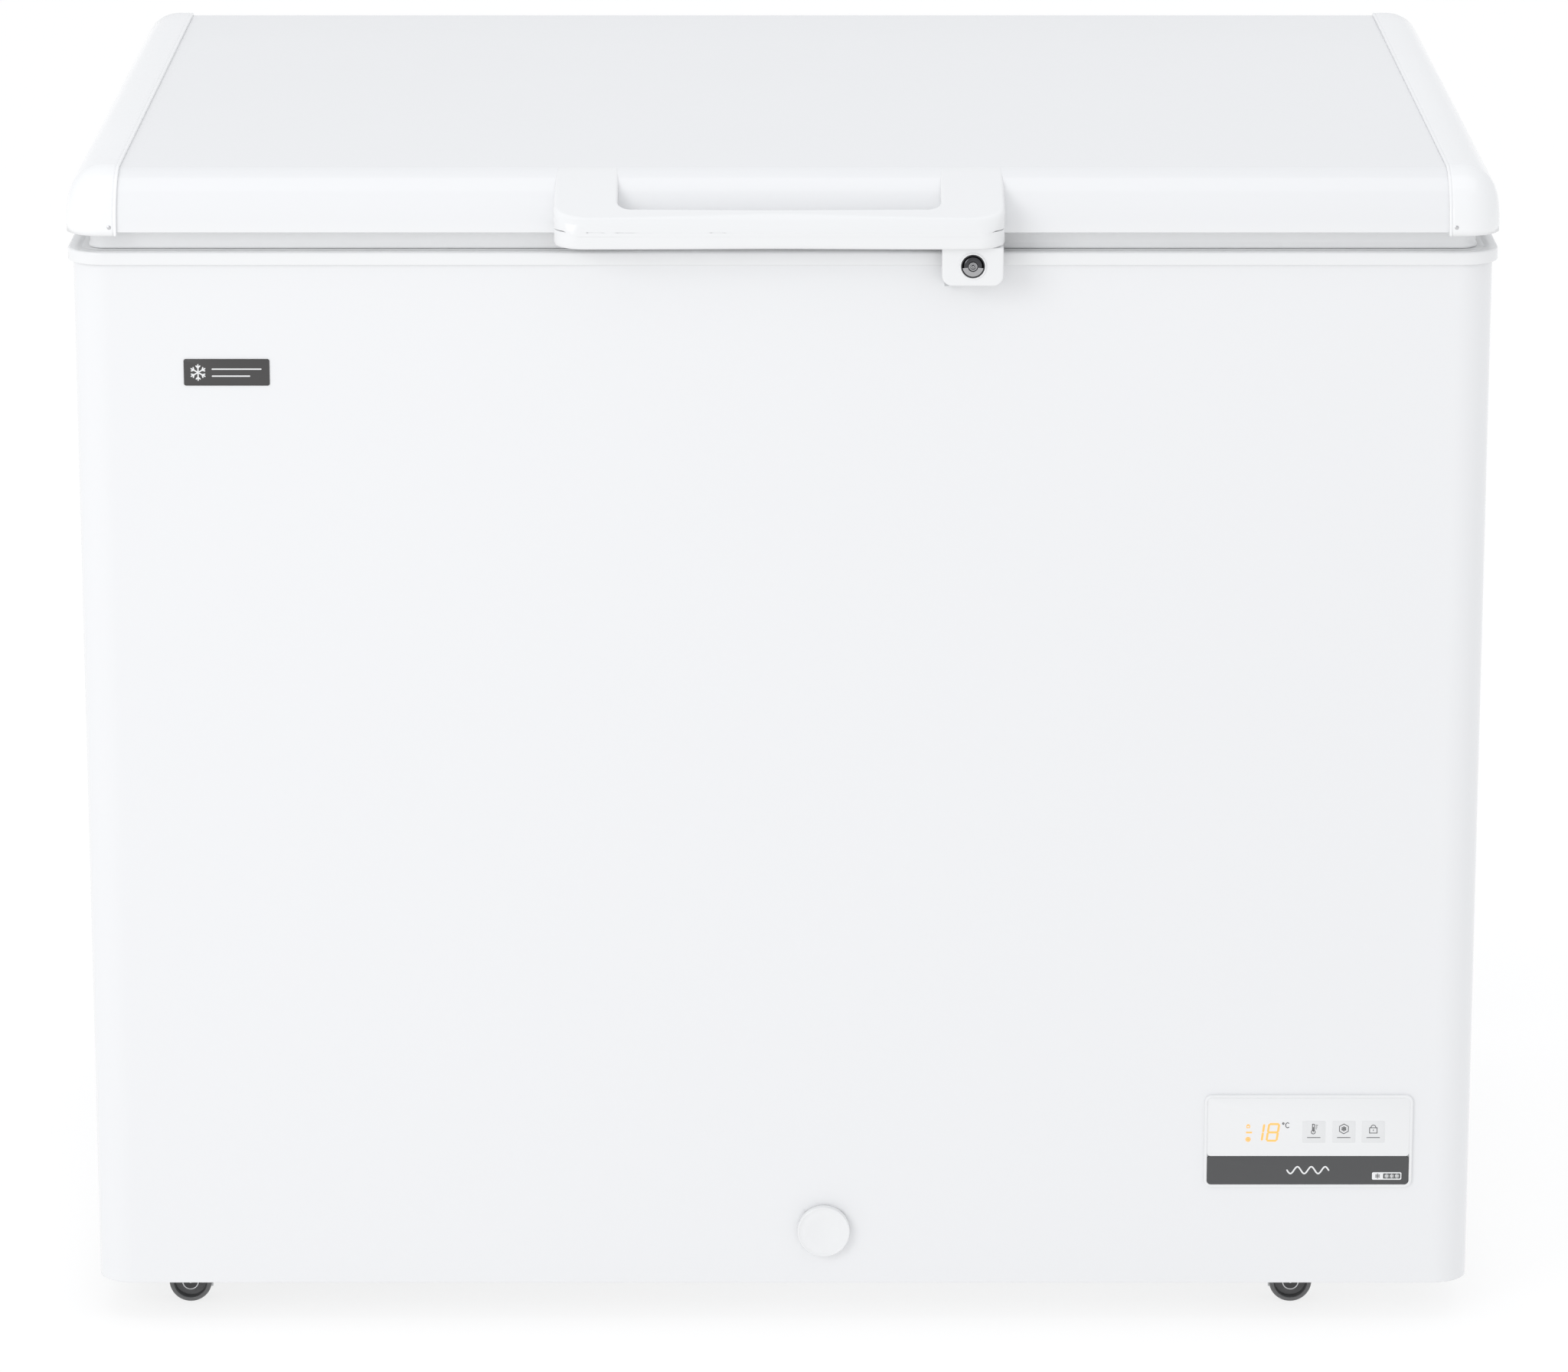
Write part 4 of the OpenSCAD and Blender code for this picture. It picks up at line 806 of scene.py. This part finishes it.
def at_panel(segments, x, z):
    """Moves marks given in millimetres to a place on the panel, from its middle."""
    s = np.array(segments, float).reshape(-1, 4)
    return (s + [x, z, x, z]) * mm + [panel_mid[0], panel_mid[2]] * 2


def ring_marks(r, start=0.0, stop=360.0, steps=12, sx=1.0, sz=1.0):
    """A circle or an arc as short segments, each from one point on it to the next."""
    a = np.radians(np.linspace(start, stop, steps + 1))
    p = np.stack([r * sx * np.cos(a), r * sz * np.sin(a)], -1)
    return np.hstack([p[:-1], p[1:]])


def flake_marks(r):
    """A six-armed flake with two barbs on each arm, from a place along it outwards."""
    barb_place, barb_length = 0.6, 0.34
    rows = []
    for k in range(6):
        a = math.radians(60 * k + 30)
        tip = np.array([r * math.cos(a), r * math.sin(a)])
        rows.append([0, 0, *tip])
        for side in (-1, 1):
            b = a + side * math.radians(45)
            root = tip * barb_place
            rows.append([*root, *(root + np.array([math.cos(b), math.sin(b)]) * r * barb_length)])
    return rows


def padlock_marks(s):
    """A padlock: its body's outline and its shackle."""
    body = [[-s, -s, s, -s], [s, -s, s, 0.5 * s], [s, 0.5 * s, -s, 0.5 * s], [-s, 0.5 * s, -s, -s]]
    return np.concatenate([body, ring_marks(0.65 * s, 0, 180, 6) + [0, 0.6 * s, 0, 0.6 * s]])


def thermometer_marks(s):
    """A thermometer: its bulb and its stem."""
    return np.concatenate([ring_marks(0.42 * s, 110, 430, 10) + [0, -0.75 * s, 0, -0.75 * s],
                           [[-0.2 * s, -0.4 * s, -0.2 * s, s], [0.2 * s, -0.4 * s, 0.2 * s, s],
                            [-0.2 * s, s, 0.2 * s, s], [0, -0.7 * s, 0, 0.3 * s]]])


def digit_marks(lit, w, h, lean):
    """The lit ones of a digit's seven bars, trimmed at their ends and leaning to the right."""
    short = 0.14
    bars = {"a": (0, h, w, h), "b": (w, h, w, h / 2), "c": (w, h / 2, w, 0), "d": (0, 0, w, 0),
            "e": (0, 0, 0, h / 2), "f": (0, h / 2, 0, h), "g": (0, h / 2, w, h / 2)}
    rows = []
    for key in lit:
        x0, z0, x1, z1 = bars[key]
        trim = short * np.sign([x1 - x0, z1 - z0]) * h / 2
        x0, z0, x1, z1 = x0 + trim[0], z0 + trim[1], x1 - trim[0], z1 - trim[1]
        rows.append([x0 + lean * z0, z0, x1 + lean * z1, z1])
    return rows


def amber():
    """The lamp colour behind the lit marks: amber, a touch brighter where the drift is high."""
    mat = finish("amber_light", (0.93, 0.45, 0.12), (0.3, 0.4), (800.0, 0.02), 0.06)
    shader = mat.node_tree.nodes["Principled BSDF"]
    shader.inputs["Emission Color"].default_value = (1.0, 0.5, 0.16, 1)
    shader.inputs["Emission Strength"].default_value = 0.35
    return mat


window_grey = finish("window_grey", (0.83, 0.835, 0.84), (0.12, 0.18), (500.0, 0.02), 0.01)
strip_grey = finish("strip_grey", (0.07, 0.071, 0.073), (0.16, 0.22), (500.0, 0.02), 0.05)
mark_grey = finish("mark_grey", (0.09, 0.09, 0.095), (0.3, 0.4), (800.0, 0.02), 0.05)
key_grey = finish("key_grey", (0.77, 0.775, 0.78), (0.15, 0.22), (500.0, 0.02), 0.01)
dress(make_display_frame(), "cabinet", white_plastic, "white_gloss_plastic", "display_bezel")

lens_y = panel_lo[1] + 0.35 * mm
lens_back = panel_hi[1]
inner_lo = (panel_lo[0] + window_frame, panel_lo[2] + window_frame)
inner_hi = (panel_hi[0] - window_frame, panel_hi[2] - window_frame)
strip_top = panel_mid[2] - 11.2 * mm
strip_gap = 0.15 * mm
lens = plate("display_window", (inner_lo[0], strip_top), inner_hi, window_r, lens_back, lens_y)
dress(lens, "cabinet", window_grey, "window_grey", "display_lens")
strip = plate("display_band", inner_lo, (inner_hi[0], strip_top - strip_gap), window_r, lens_back,
              lens_y)
dress(strip, "cabinet", strip_grey, "strip_grey", "display_strip")

# The lit marks: two digits, and a padlock, a pair of bars and a ringed flake to their left.
mark_y = lens_y - 0.1 * mm
mark_root = lens_y + 0.2 * mm
digit_size = (7.2, 12.6, 0.14)
digit_x, digit_z = (-40.9, -30.2), 0.5
symbol_x = -43.5
lit = np.concatenate([
    at_panel(digit_marks("bc", *digit_size), digit_x[0], digit_z),
    at_panel(digit_marks("abcdefg", *digit_size), digit_x[1], digit_z)])
digits = strokes("temperature_digits", lit, 1.5 * mm, mark_root, mark_y)
dress(digits, "cabinet", amber(), "window_grey")
small_lit = np.concatenate([
    at_panel(padlock_marks(1.05), symbol_x, 11.4),
    at_panel(flake_marks(0.9), symbol_x, 1.5),
    at_panel(ring_marks(1.6, steps=14), symbol_x, 1.5),
    at_panel([[-1.9, 0.3, 1.9, 0.3], [-1.9, -0.3, 1.9, -0.3]], symbol_x + 0.6, 6.7)])
symbols = strokes("lit_symbols", small_lit, 0.6 * mm, mark_root, mark_y)
dress(symbols, "cabinet", digits.data.materials[0], "window_grey")

# Three square touch keys with dark symbols, and the degree mark beside the digits.
key_x = (3.8, 25.4, 46.6)
key_z, key_half, key_r = 7.2 * mm, 8.3 * mm, 0.8 * mm
key_rows = [(0, lens_y + 0.1 * mm), (0, lens_y - 0.04 * mm), (0.08 * mm, lens_y - 0.08 * mm)]
key_shells = []
for x in key_x:
    cx, cz = panel_mid[0] + x * mm, panel_mid[2] + key_z
    key_lo, key_hi = (cx - key_half, cz - key_half), (cx + key_half, cz + key_half)
    key_shells.append(loft(framed(key_lo, key_hi, [key_r] * 4, key_rows, 1, 5)))
dress(mesh_object("touch_pads", *join(key_shells), sharp=50), "cabinet", key_grey, "window_grey",
      "touch_keys")
hexagon = ring_marks(3.7, 90, 450, 6)
scale_marks = [[1.3, 2.6, 2.6, 2.6], [1.3, 1.3, 2.2, 1.3], [1.3, 0, 1.9, 0]]
degree = at_panel(ring_marks(0.6, steps=8), -18.3, 13.5)
unit = at_panel(ring_marks(1.7, 50, 310, 10, 0.85, 1.1), -15.2, 12.2)
dark_marks = np.concatenate([
    at_panel(thermometer_marks(3.4), key_x[0] - 0.4, 9.6), at_panel(scale_marks, key_x[0], 9.6),
    at_panel(hexagon, key_x[1], 9.5), at_panel(flake_marks(1.7), key_x[1], 9.5),
    at_panel(padlock_marks(2.7), key_x[2], 9.0), at_panel([[0, -0.9, 0, -0.2]], key_x[2], 9.0),
    degree, unit] + [at_panel([[-4.6, 0, 4.6, 0]], x, 2.9) for x in key_x])
icon_y = lens_y - 0.16 * mm
key_icons = strokes("key_marks", dark_marks, 0.5 * mm, lens_y, icon_y)
dress(key_icons, "cabinet", mark_grey, "strip_grey")

# The strip carries a white wave for the variable-speed compressor and a four-flake rating.
wave_reach, wave_height, wave_count = 15, 2.6, 3
wave_x = np.linspace(-wave_reach, wave_reach, 49)
wave = np.stack([wave_x, wave_height * np.sin(wave_x / wave_reach * wave_count * math.pi)], -1)
wave_marks = at_panel(np.hstack([wave[:-1], wave[1:]]), 0, -21.9)


def panel_spot(x, z):
    """A place on the panel given in millimetres from its middle."""
    return panel_mid[0] + x * mm, panel_mid[2] + z * mm


rating_y, rating_z, thin_edge = lens_y - 0.08 * mm, -26.35, 0.05 * mm
rating = plate("rating_plate", panel_spot(46.4, -29.2), panel_spot(67.6, -23.5), 1.0 * mm,
               mark_root, rating_y, thin_edge)
rating_dark = plate("rating_band", panel_spot(54.4, -28.3), panel_spot(66.8, -24.4), 0.5 * mm,
                    mark_root, lens_y - 0.12 * mm, thin_edge)
dress(rating, "cabinet", white_plastic, "white_gloss_plastic")
dress(rating_dark, "cabinet", strip_grey, "strip_grey")
dress(strokes("wave_mark", wave_marks, 1.1 * mm, mark_root, rating_y), "cabinet",
      white_plastic, "white_gloss_plastic")
small_flakes = np.concatenate([at_panel(flake_marks(1.5), x, rating_z) for x in (56.9, 60.6, 64.3)])
dress(strokes("rating_flakes", small_flakes, 0.32 * mm, lens_y, icon_y), "cabinet",
      white_plastic, "white_gloss_plastic")
first_flake = at_panel(flake_marks(1.7), 50.4, rating_z)
dress(strokes("rating_first_flake", first_flake, 0.36 * mm, lens_y, lens_y - 0.14 * mm),
      "cabinet", mark_grey, "strip_grey")

# ---------------------------------------------------------------- Drain cap
# A white moulded cap pushed into the front near the floor, with a soft dished face inside a
# beaded rim and a stem that reaches through the sheet.
cap_front, cap_back = drain_lo[1], drain_hi[1]
cap_r = (drain_hi[0] - drain_lo[0]) / 2


def make_drain_cap():
    """One turned profile from the middle of the dish out to the rim and in to the stem."""
    r, stem, stem_r, rim_back = cap_r / mm, (cap_back - cap_front) / mm, 7.7, 6.8
    rows = [(pole, 1.9), (4.0, 1.75), (8.0, 1.3), (11.0, 0.75), (13.0, 0.5), (14.5, 0.45),
            (r - 2.0, 0.45), (r - 1.5, 0.2), (r - 1.0, 0.0), (r - 0.4, 0.25), (r, 1.1), (r, 6.2),
            (r - 0.4, rim_back), (stem_r, rim_back), (stem_r, stem - 0.8), (7.0, stem),
            (pole, stem)]
    return turned("drain_stopper", rows, (drain_x, cap_front, drain_z), steps=96, sharp=35)


dress(make_drain_cap(), "drain_cap", white_plastic, "white_gloss_plastic", "drain_cap")

# ---------------------------------------------------------------- Castors
# Four moulded wheels of dark grey plastic, with a raised rim, a deep ring and a hub. Each runs
# on a dark bolt, whose head carries a plated rim and centre.
castor_places = (("front_left", -1), ("front_right", -1), ("rear_left", 1), ("rear_right", 1))
wheel_grey = finish("wheel_grey", (0.125, 0.125, 0.127), (0.3, 0.45), (900.0, 0.12), 0.12)


def make_wheel(name, node_name, front):
    """A turned profile: tread, rim, ring-shaped recess, hub and bore. front is -1 for a wheel
    whose hub faces forward and +1 for one that faces back. The profile meets its own start,
    so the two faces that would close its ends are left off."""
    lo, hi = (np.array(v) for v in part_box(node_name))
    centre = (lo + hi) / 2
    half = (hi[1] - lo[1]) / 2 / mm
    tread, bore, hub = 15.5, 4.05, half - 3.5
    rows = [(tread, 0), (tread, half - 2.2), (15.2, half - 1.0), (14.5, half - 0.2), (13.9, half),
            (12.9, half), (12.3, half - 0.3), (12.0, half - 1.2), (11.8, half - 5.6),
            (11.2, half - 6.0), (6.9, half - 6.0), (6.4, half - 5.6), (6.1, half - 4.0), (5.8, hub),
            (bore, hub), (bore, -half + 0.3), (4.4, -half), (13.9, -half), (15.2, -half + 1.0),
            (tread, -half + 2.2)]
    profile = [(r * mm, p * front * mm) for r, p in rows]
    points, faces = revolve(profile + profile[:1], centre, steps=72)
    return mesh_object(name, points, faces[:-2], sharp=35)


for place, front in castor_places:
    body = "castor_" + place
    dress(make_wheel("wheel_" + place, body, front), body, wheel_grey, "wheel_grey", body)

bolt_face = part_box("castor_bolts")[1][1]
rim_rows = [(5.2, -0.2), (5.3, 0.12), (5.7, 0.3), (6.1, 0.12), (6.2, -0.2), (5.2, -0.2)]
dot_r, dot_rise, dot_root = 1.2 * mm, 0.35 * mm, 0.3 * mm
rings, dots = [], []
for place, front in castor_places:
    lo, hi = (np.array(v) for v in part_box("castor_" + place))
    centre = ((lo[0] + hi[0]) / 2, front * bolt_face, (lo[2] + hi[2]) / 2)
    points, faces = revolve([(r * mm, y * front * mm) for r, y in rim_rows[::-front]], centre, 48)
    rings.append((points, faces[:-2]))
    dots.append(stud(centre, front, dot_r, dot_rise, dot_root))
dress(mesh_object("castor_bolt_rims", *join(rings), sharp=60), "cabinet", plated, "plated_steel")
dress(mesh_object("castor_bolt_centres", *join(dots), sharp=40), "cabinet", plated, "plated_steel")

# ---------------------------------------------------------------- Basket
# Welded steel wire, coated in white: two rims, floor and side wires in both directions, and
# two long hooks whose grey sleeves hang it from the collar.
coated_wire = finish("coated_wire", (0.82, 0.825, 0.83), (0.22, 0.3), (600.0, 0.05), 0.01)
wire_r = 2.2 * mm
basket_lo, basket_hi = (np.array(v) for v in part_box("wire_basket"))


def tube(route, radius, sides=12):
    """A round rod along a route of straight runs, with its ends closed. Each ring stands square
    to the bisector of the runs on either side."""
    route = np.asarray(route, float)
    runs = np.diff(route, axis=0)
    runs /= np.linalg.norm(runs, axis=1)[:, None]
    tangent = np.concatenate([runs[:1], runs[:-1] + runs[1:], runs[-1:]])
    tangent /= np.linalg.norm(tangent, axis=1)[:, None]
    askew = [0.3, 0.5, 0.81]
    side = np.cross(tangent, askew)
    side /= np.linalg.norm(side, axis=1)[:, None]
    up = np.cross(tangent, side)
    a = np.linspace(0, 2 * math.pi, sides, endpoint=False)
    ring = side[:, None] * np.cos(a)[None, :, None] + up[:, None] * np.sin(a)[None, :, None]
    return loft(route[:, None] + ring * radius)


def bars(count, low, high):
    """Evenly spaced places strictly between two others."""
    return np.linspace(low, high, count + 1)[1:-1]


def make_basket():
    """Tubes: two closed rims, wires bent up at both ends, and two hooks that mirror about the
    middle."""
    x0, x1 = basket_lo[0] + wire_r, basket_hi[0] - wire_r
    y1 = 252.0 * mm
    z0, z1 = basket_lo[2] + wire_r, 763.2 * mm
    mid = (x0 + x1) / 2
    rim_r, thin, turn = 6 * mm, 1.5 * mm, 4 * mm
    shells = []
    for z in (z0, z1):
        loop = flat(outline(x0, x1, -y1, y1, [rim_r] * 4, 4), z)
        shells.append(tube(np.concatenate([loop, loop[:1]]), wire_r))
    for x in bars(5, x0, x1):
        shells.append(tube([(x, -y1, z1), (x, -y1, z0 + turn), (x, -y1 + turn, z0),
                            (x, y1 - turn, z0), (x, y1, z0 + turn), (x, y1, z1)], thin))
    for y in bars(12, -y1, y1):
        shells.append(tube([(x0, y, z1), (x0, y, z0 + turn), (x0 + turn, y, z0),
                            (x1 - turn, y, z0), (x1, y, z0 + turn), (x1, y, z1)], thin))
    hook_y, grip_y, grip_z, reach = 254.5 * mm, 284.0 * mm, 793.5 * mm, 70 * mm
    bend = 5 * mm
    near = bend * 0.3
    hook_x = mid - reach
    for s in (-1, 1):
        route = [(hook_x, s * hook_y, z1 - turn), (hook_x, s * hook_y, grip_z - bend),
                 (hook_x, s * (hook_y + near), grip_z - near),
                 (hook_x, s * (hook_y + bend), grip_z), (hook_x, s * (grip_y - bend), grip_z),
                 (hook_x + near, s * (grip_y - near), grip_z), (hook_x + bend, s * grip_y, grip_z)]
        mirrored = [(2 * mid - x, y, z) for x, y, z in route[::-1]]
        shells.append(tube(route + mirrored, wire_r))
    return mesh_object("basket_wires", *join(shells), sharp=40)


dress(make_basket(), "basket", coated_wire, "coated_wire", "wire_basket")

# ---------------------------------------------------------------- Badge
# A small dark plastic plate with rounded corners, glued near the top left of the front. It
# carries a plain snowflake and two lines.
badge_grey = finish("badge_grey", (0.055, 0.053, 0.053), (0.3, 0.4), (900.0, 0.03), 0.05)
badge_lo, badge_hi = (np.array(v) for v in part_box("badge"))
badge_front, badge_face, badge_r, badge_edge = badge_lo[1], badge_lo[1] + 0.1 * mm, 1.5 * mm, 0.25 * mm
badge_plate = plate("badge_plate", (badge_lo[0], badge_lo[2]), (badge_hi[0], badge_hi[2]), badge_r,
                    badge_hi[1], badge_face, badge_edge)
dress(badge_plate, "cabinet", badge_grey, "chrome", "badge")
bx, bz = (badge_lo[0] + badge_hi[0]) / 2, (badge_lo[2] + badge_hi[2]) / 2
marks = np.array(flake_marks(5.5)) * mm + [bx - 20 * mm, bz] * 2
lines = np.array([[-10, 2.4, 24, 2.4], [-10, -2.6, 16, -2.6]]) * mm + [bx, bz] * 2
emblem = strokes("badge_marks", np.concatenate([marks, lines]), 0.9 * mm, badge_front + 0.2 * mm,
                 badge_front)
dress(emblem, "cabinet", white_plastic, "white_gloss_plastic")

# ---------------------------------------------------------------- Steel, foam and rubber inside
# The pieces that keep their own shape take the finish of what they are made of: galvanised
# brackets, copper and steel lines, poured foam, an embossed liner, moulded covers and rubber.
inside_finishes = {
    # slot: colour, roughness between two values, grain's scale and depth, drift, metallic
    "galvanised": ((0.55, 0.56, 0.57), (0.32, 0.5), (90.0, 0.05), 0.16, 0.9),
    "spring_steel": ((0.32, 0.32, 0.33), (0.25, 0.38), (700.0, 0.04), 0.1, 1.0),
    "bolt_black": ((0.035, 0.035, 0.036), (0.3, 0.42), (700.0, 0.04), 0.1),
    "rear_paint": ((0.78, 0.79, 0.8), (0.3, 0.38), (300.0, 0.05), 0.02),
    "insulation": ((0.83, 0.76, 0.52), (0.8, 0.95), (220.0, 0.8), 0.08),
    "liner_metal": ((0.8, 0.81, 0.82), (0.22, 0.32), (150.0, 0.25), 0.02),
    "white_plastic": ((0.82, 0.825, 0.83), (0.35, 0.45), (500.0, 0.08), 0.01),
    "black_rubber": ((0.03, 0.03, 0.032), (0.6, 0.8), (700.0, 0.15), 0.15),
    "tube_aluminium": ((0.75, 0.76, 0.77), (0.28, 0.4), (500.0, 0.05), 0.05, 1.0),
    "tube_steel": ((0.42, 0.36, 0.32), (0.3, 0.45), (300.0, 0.06), 0.12, 1.0),
    "copper": ((0.78, 0.40, 0.24), (0.22, 0.4), (240.0, 0.06), 0.14, 1.0),
    "compressor_black": ((0.02, 0.021, 0.022), (0.28, 0.4), (220.0, 0.1), 0.1),
    "dark_plastic": ((0.035, 0.036, 0.038), (0.4, 0.5), (600.0, 0.1), 0.08),
    "loom": ((0.05, 0.05, 0.055), (0.45, 0.6), (600.0, 0.2), 0.15),
    "board_green": ((0.02, 0.16, 0.07), (0.3, 0.45), (500.0, 0.05), 0.15),
    "grip_grey": ((0.3, 0.31, 0.32), (0.4, 0.5), (600.0, 0.1), 0.05)}
by_slot = {slot: finish(slot, *look) for slot, look in inside_finishes.items()}
by_slot.update(white_paint=white_paint, plated_steel=plated, white_gloss_plastic=white_plastic,
               gasket_rubber=gasket_white, window_grey=window_grey, strip_grey=strip_grey,
               wheel_grey=wheel_grey, chrome=chrome, coated_wire=coated_wire)
for subpart in frame["record"]["subparts"]:
    dark_bolts = subpart["node"] == "castor_bolts"
    look = "bolt_black" if dark_bolts else subpart["material_slot"]
    for place in frame["nodes"][subpart["node"]].material_slots:
        place.material = by_slot[look]
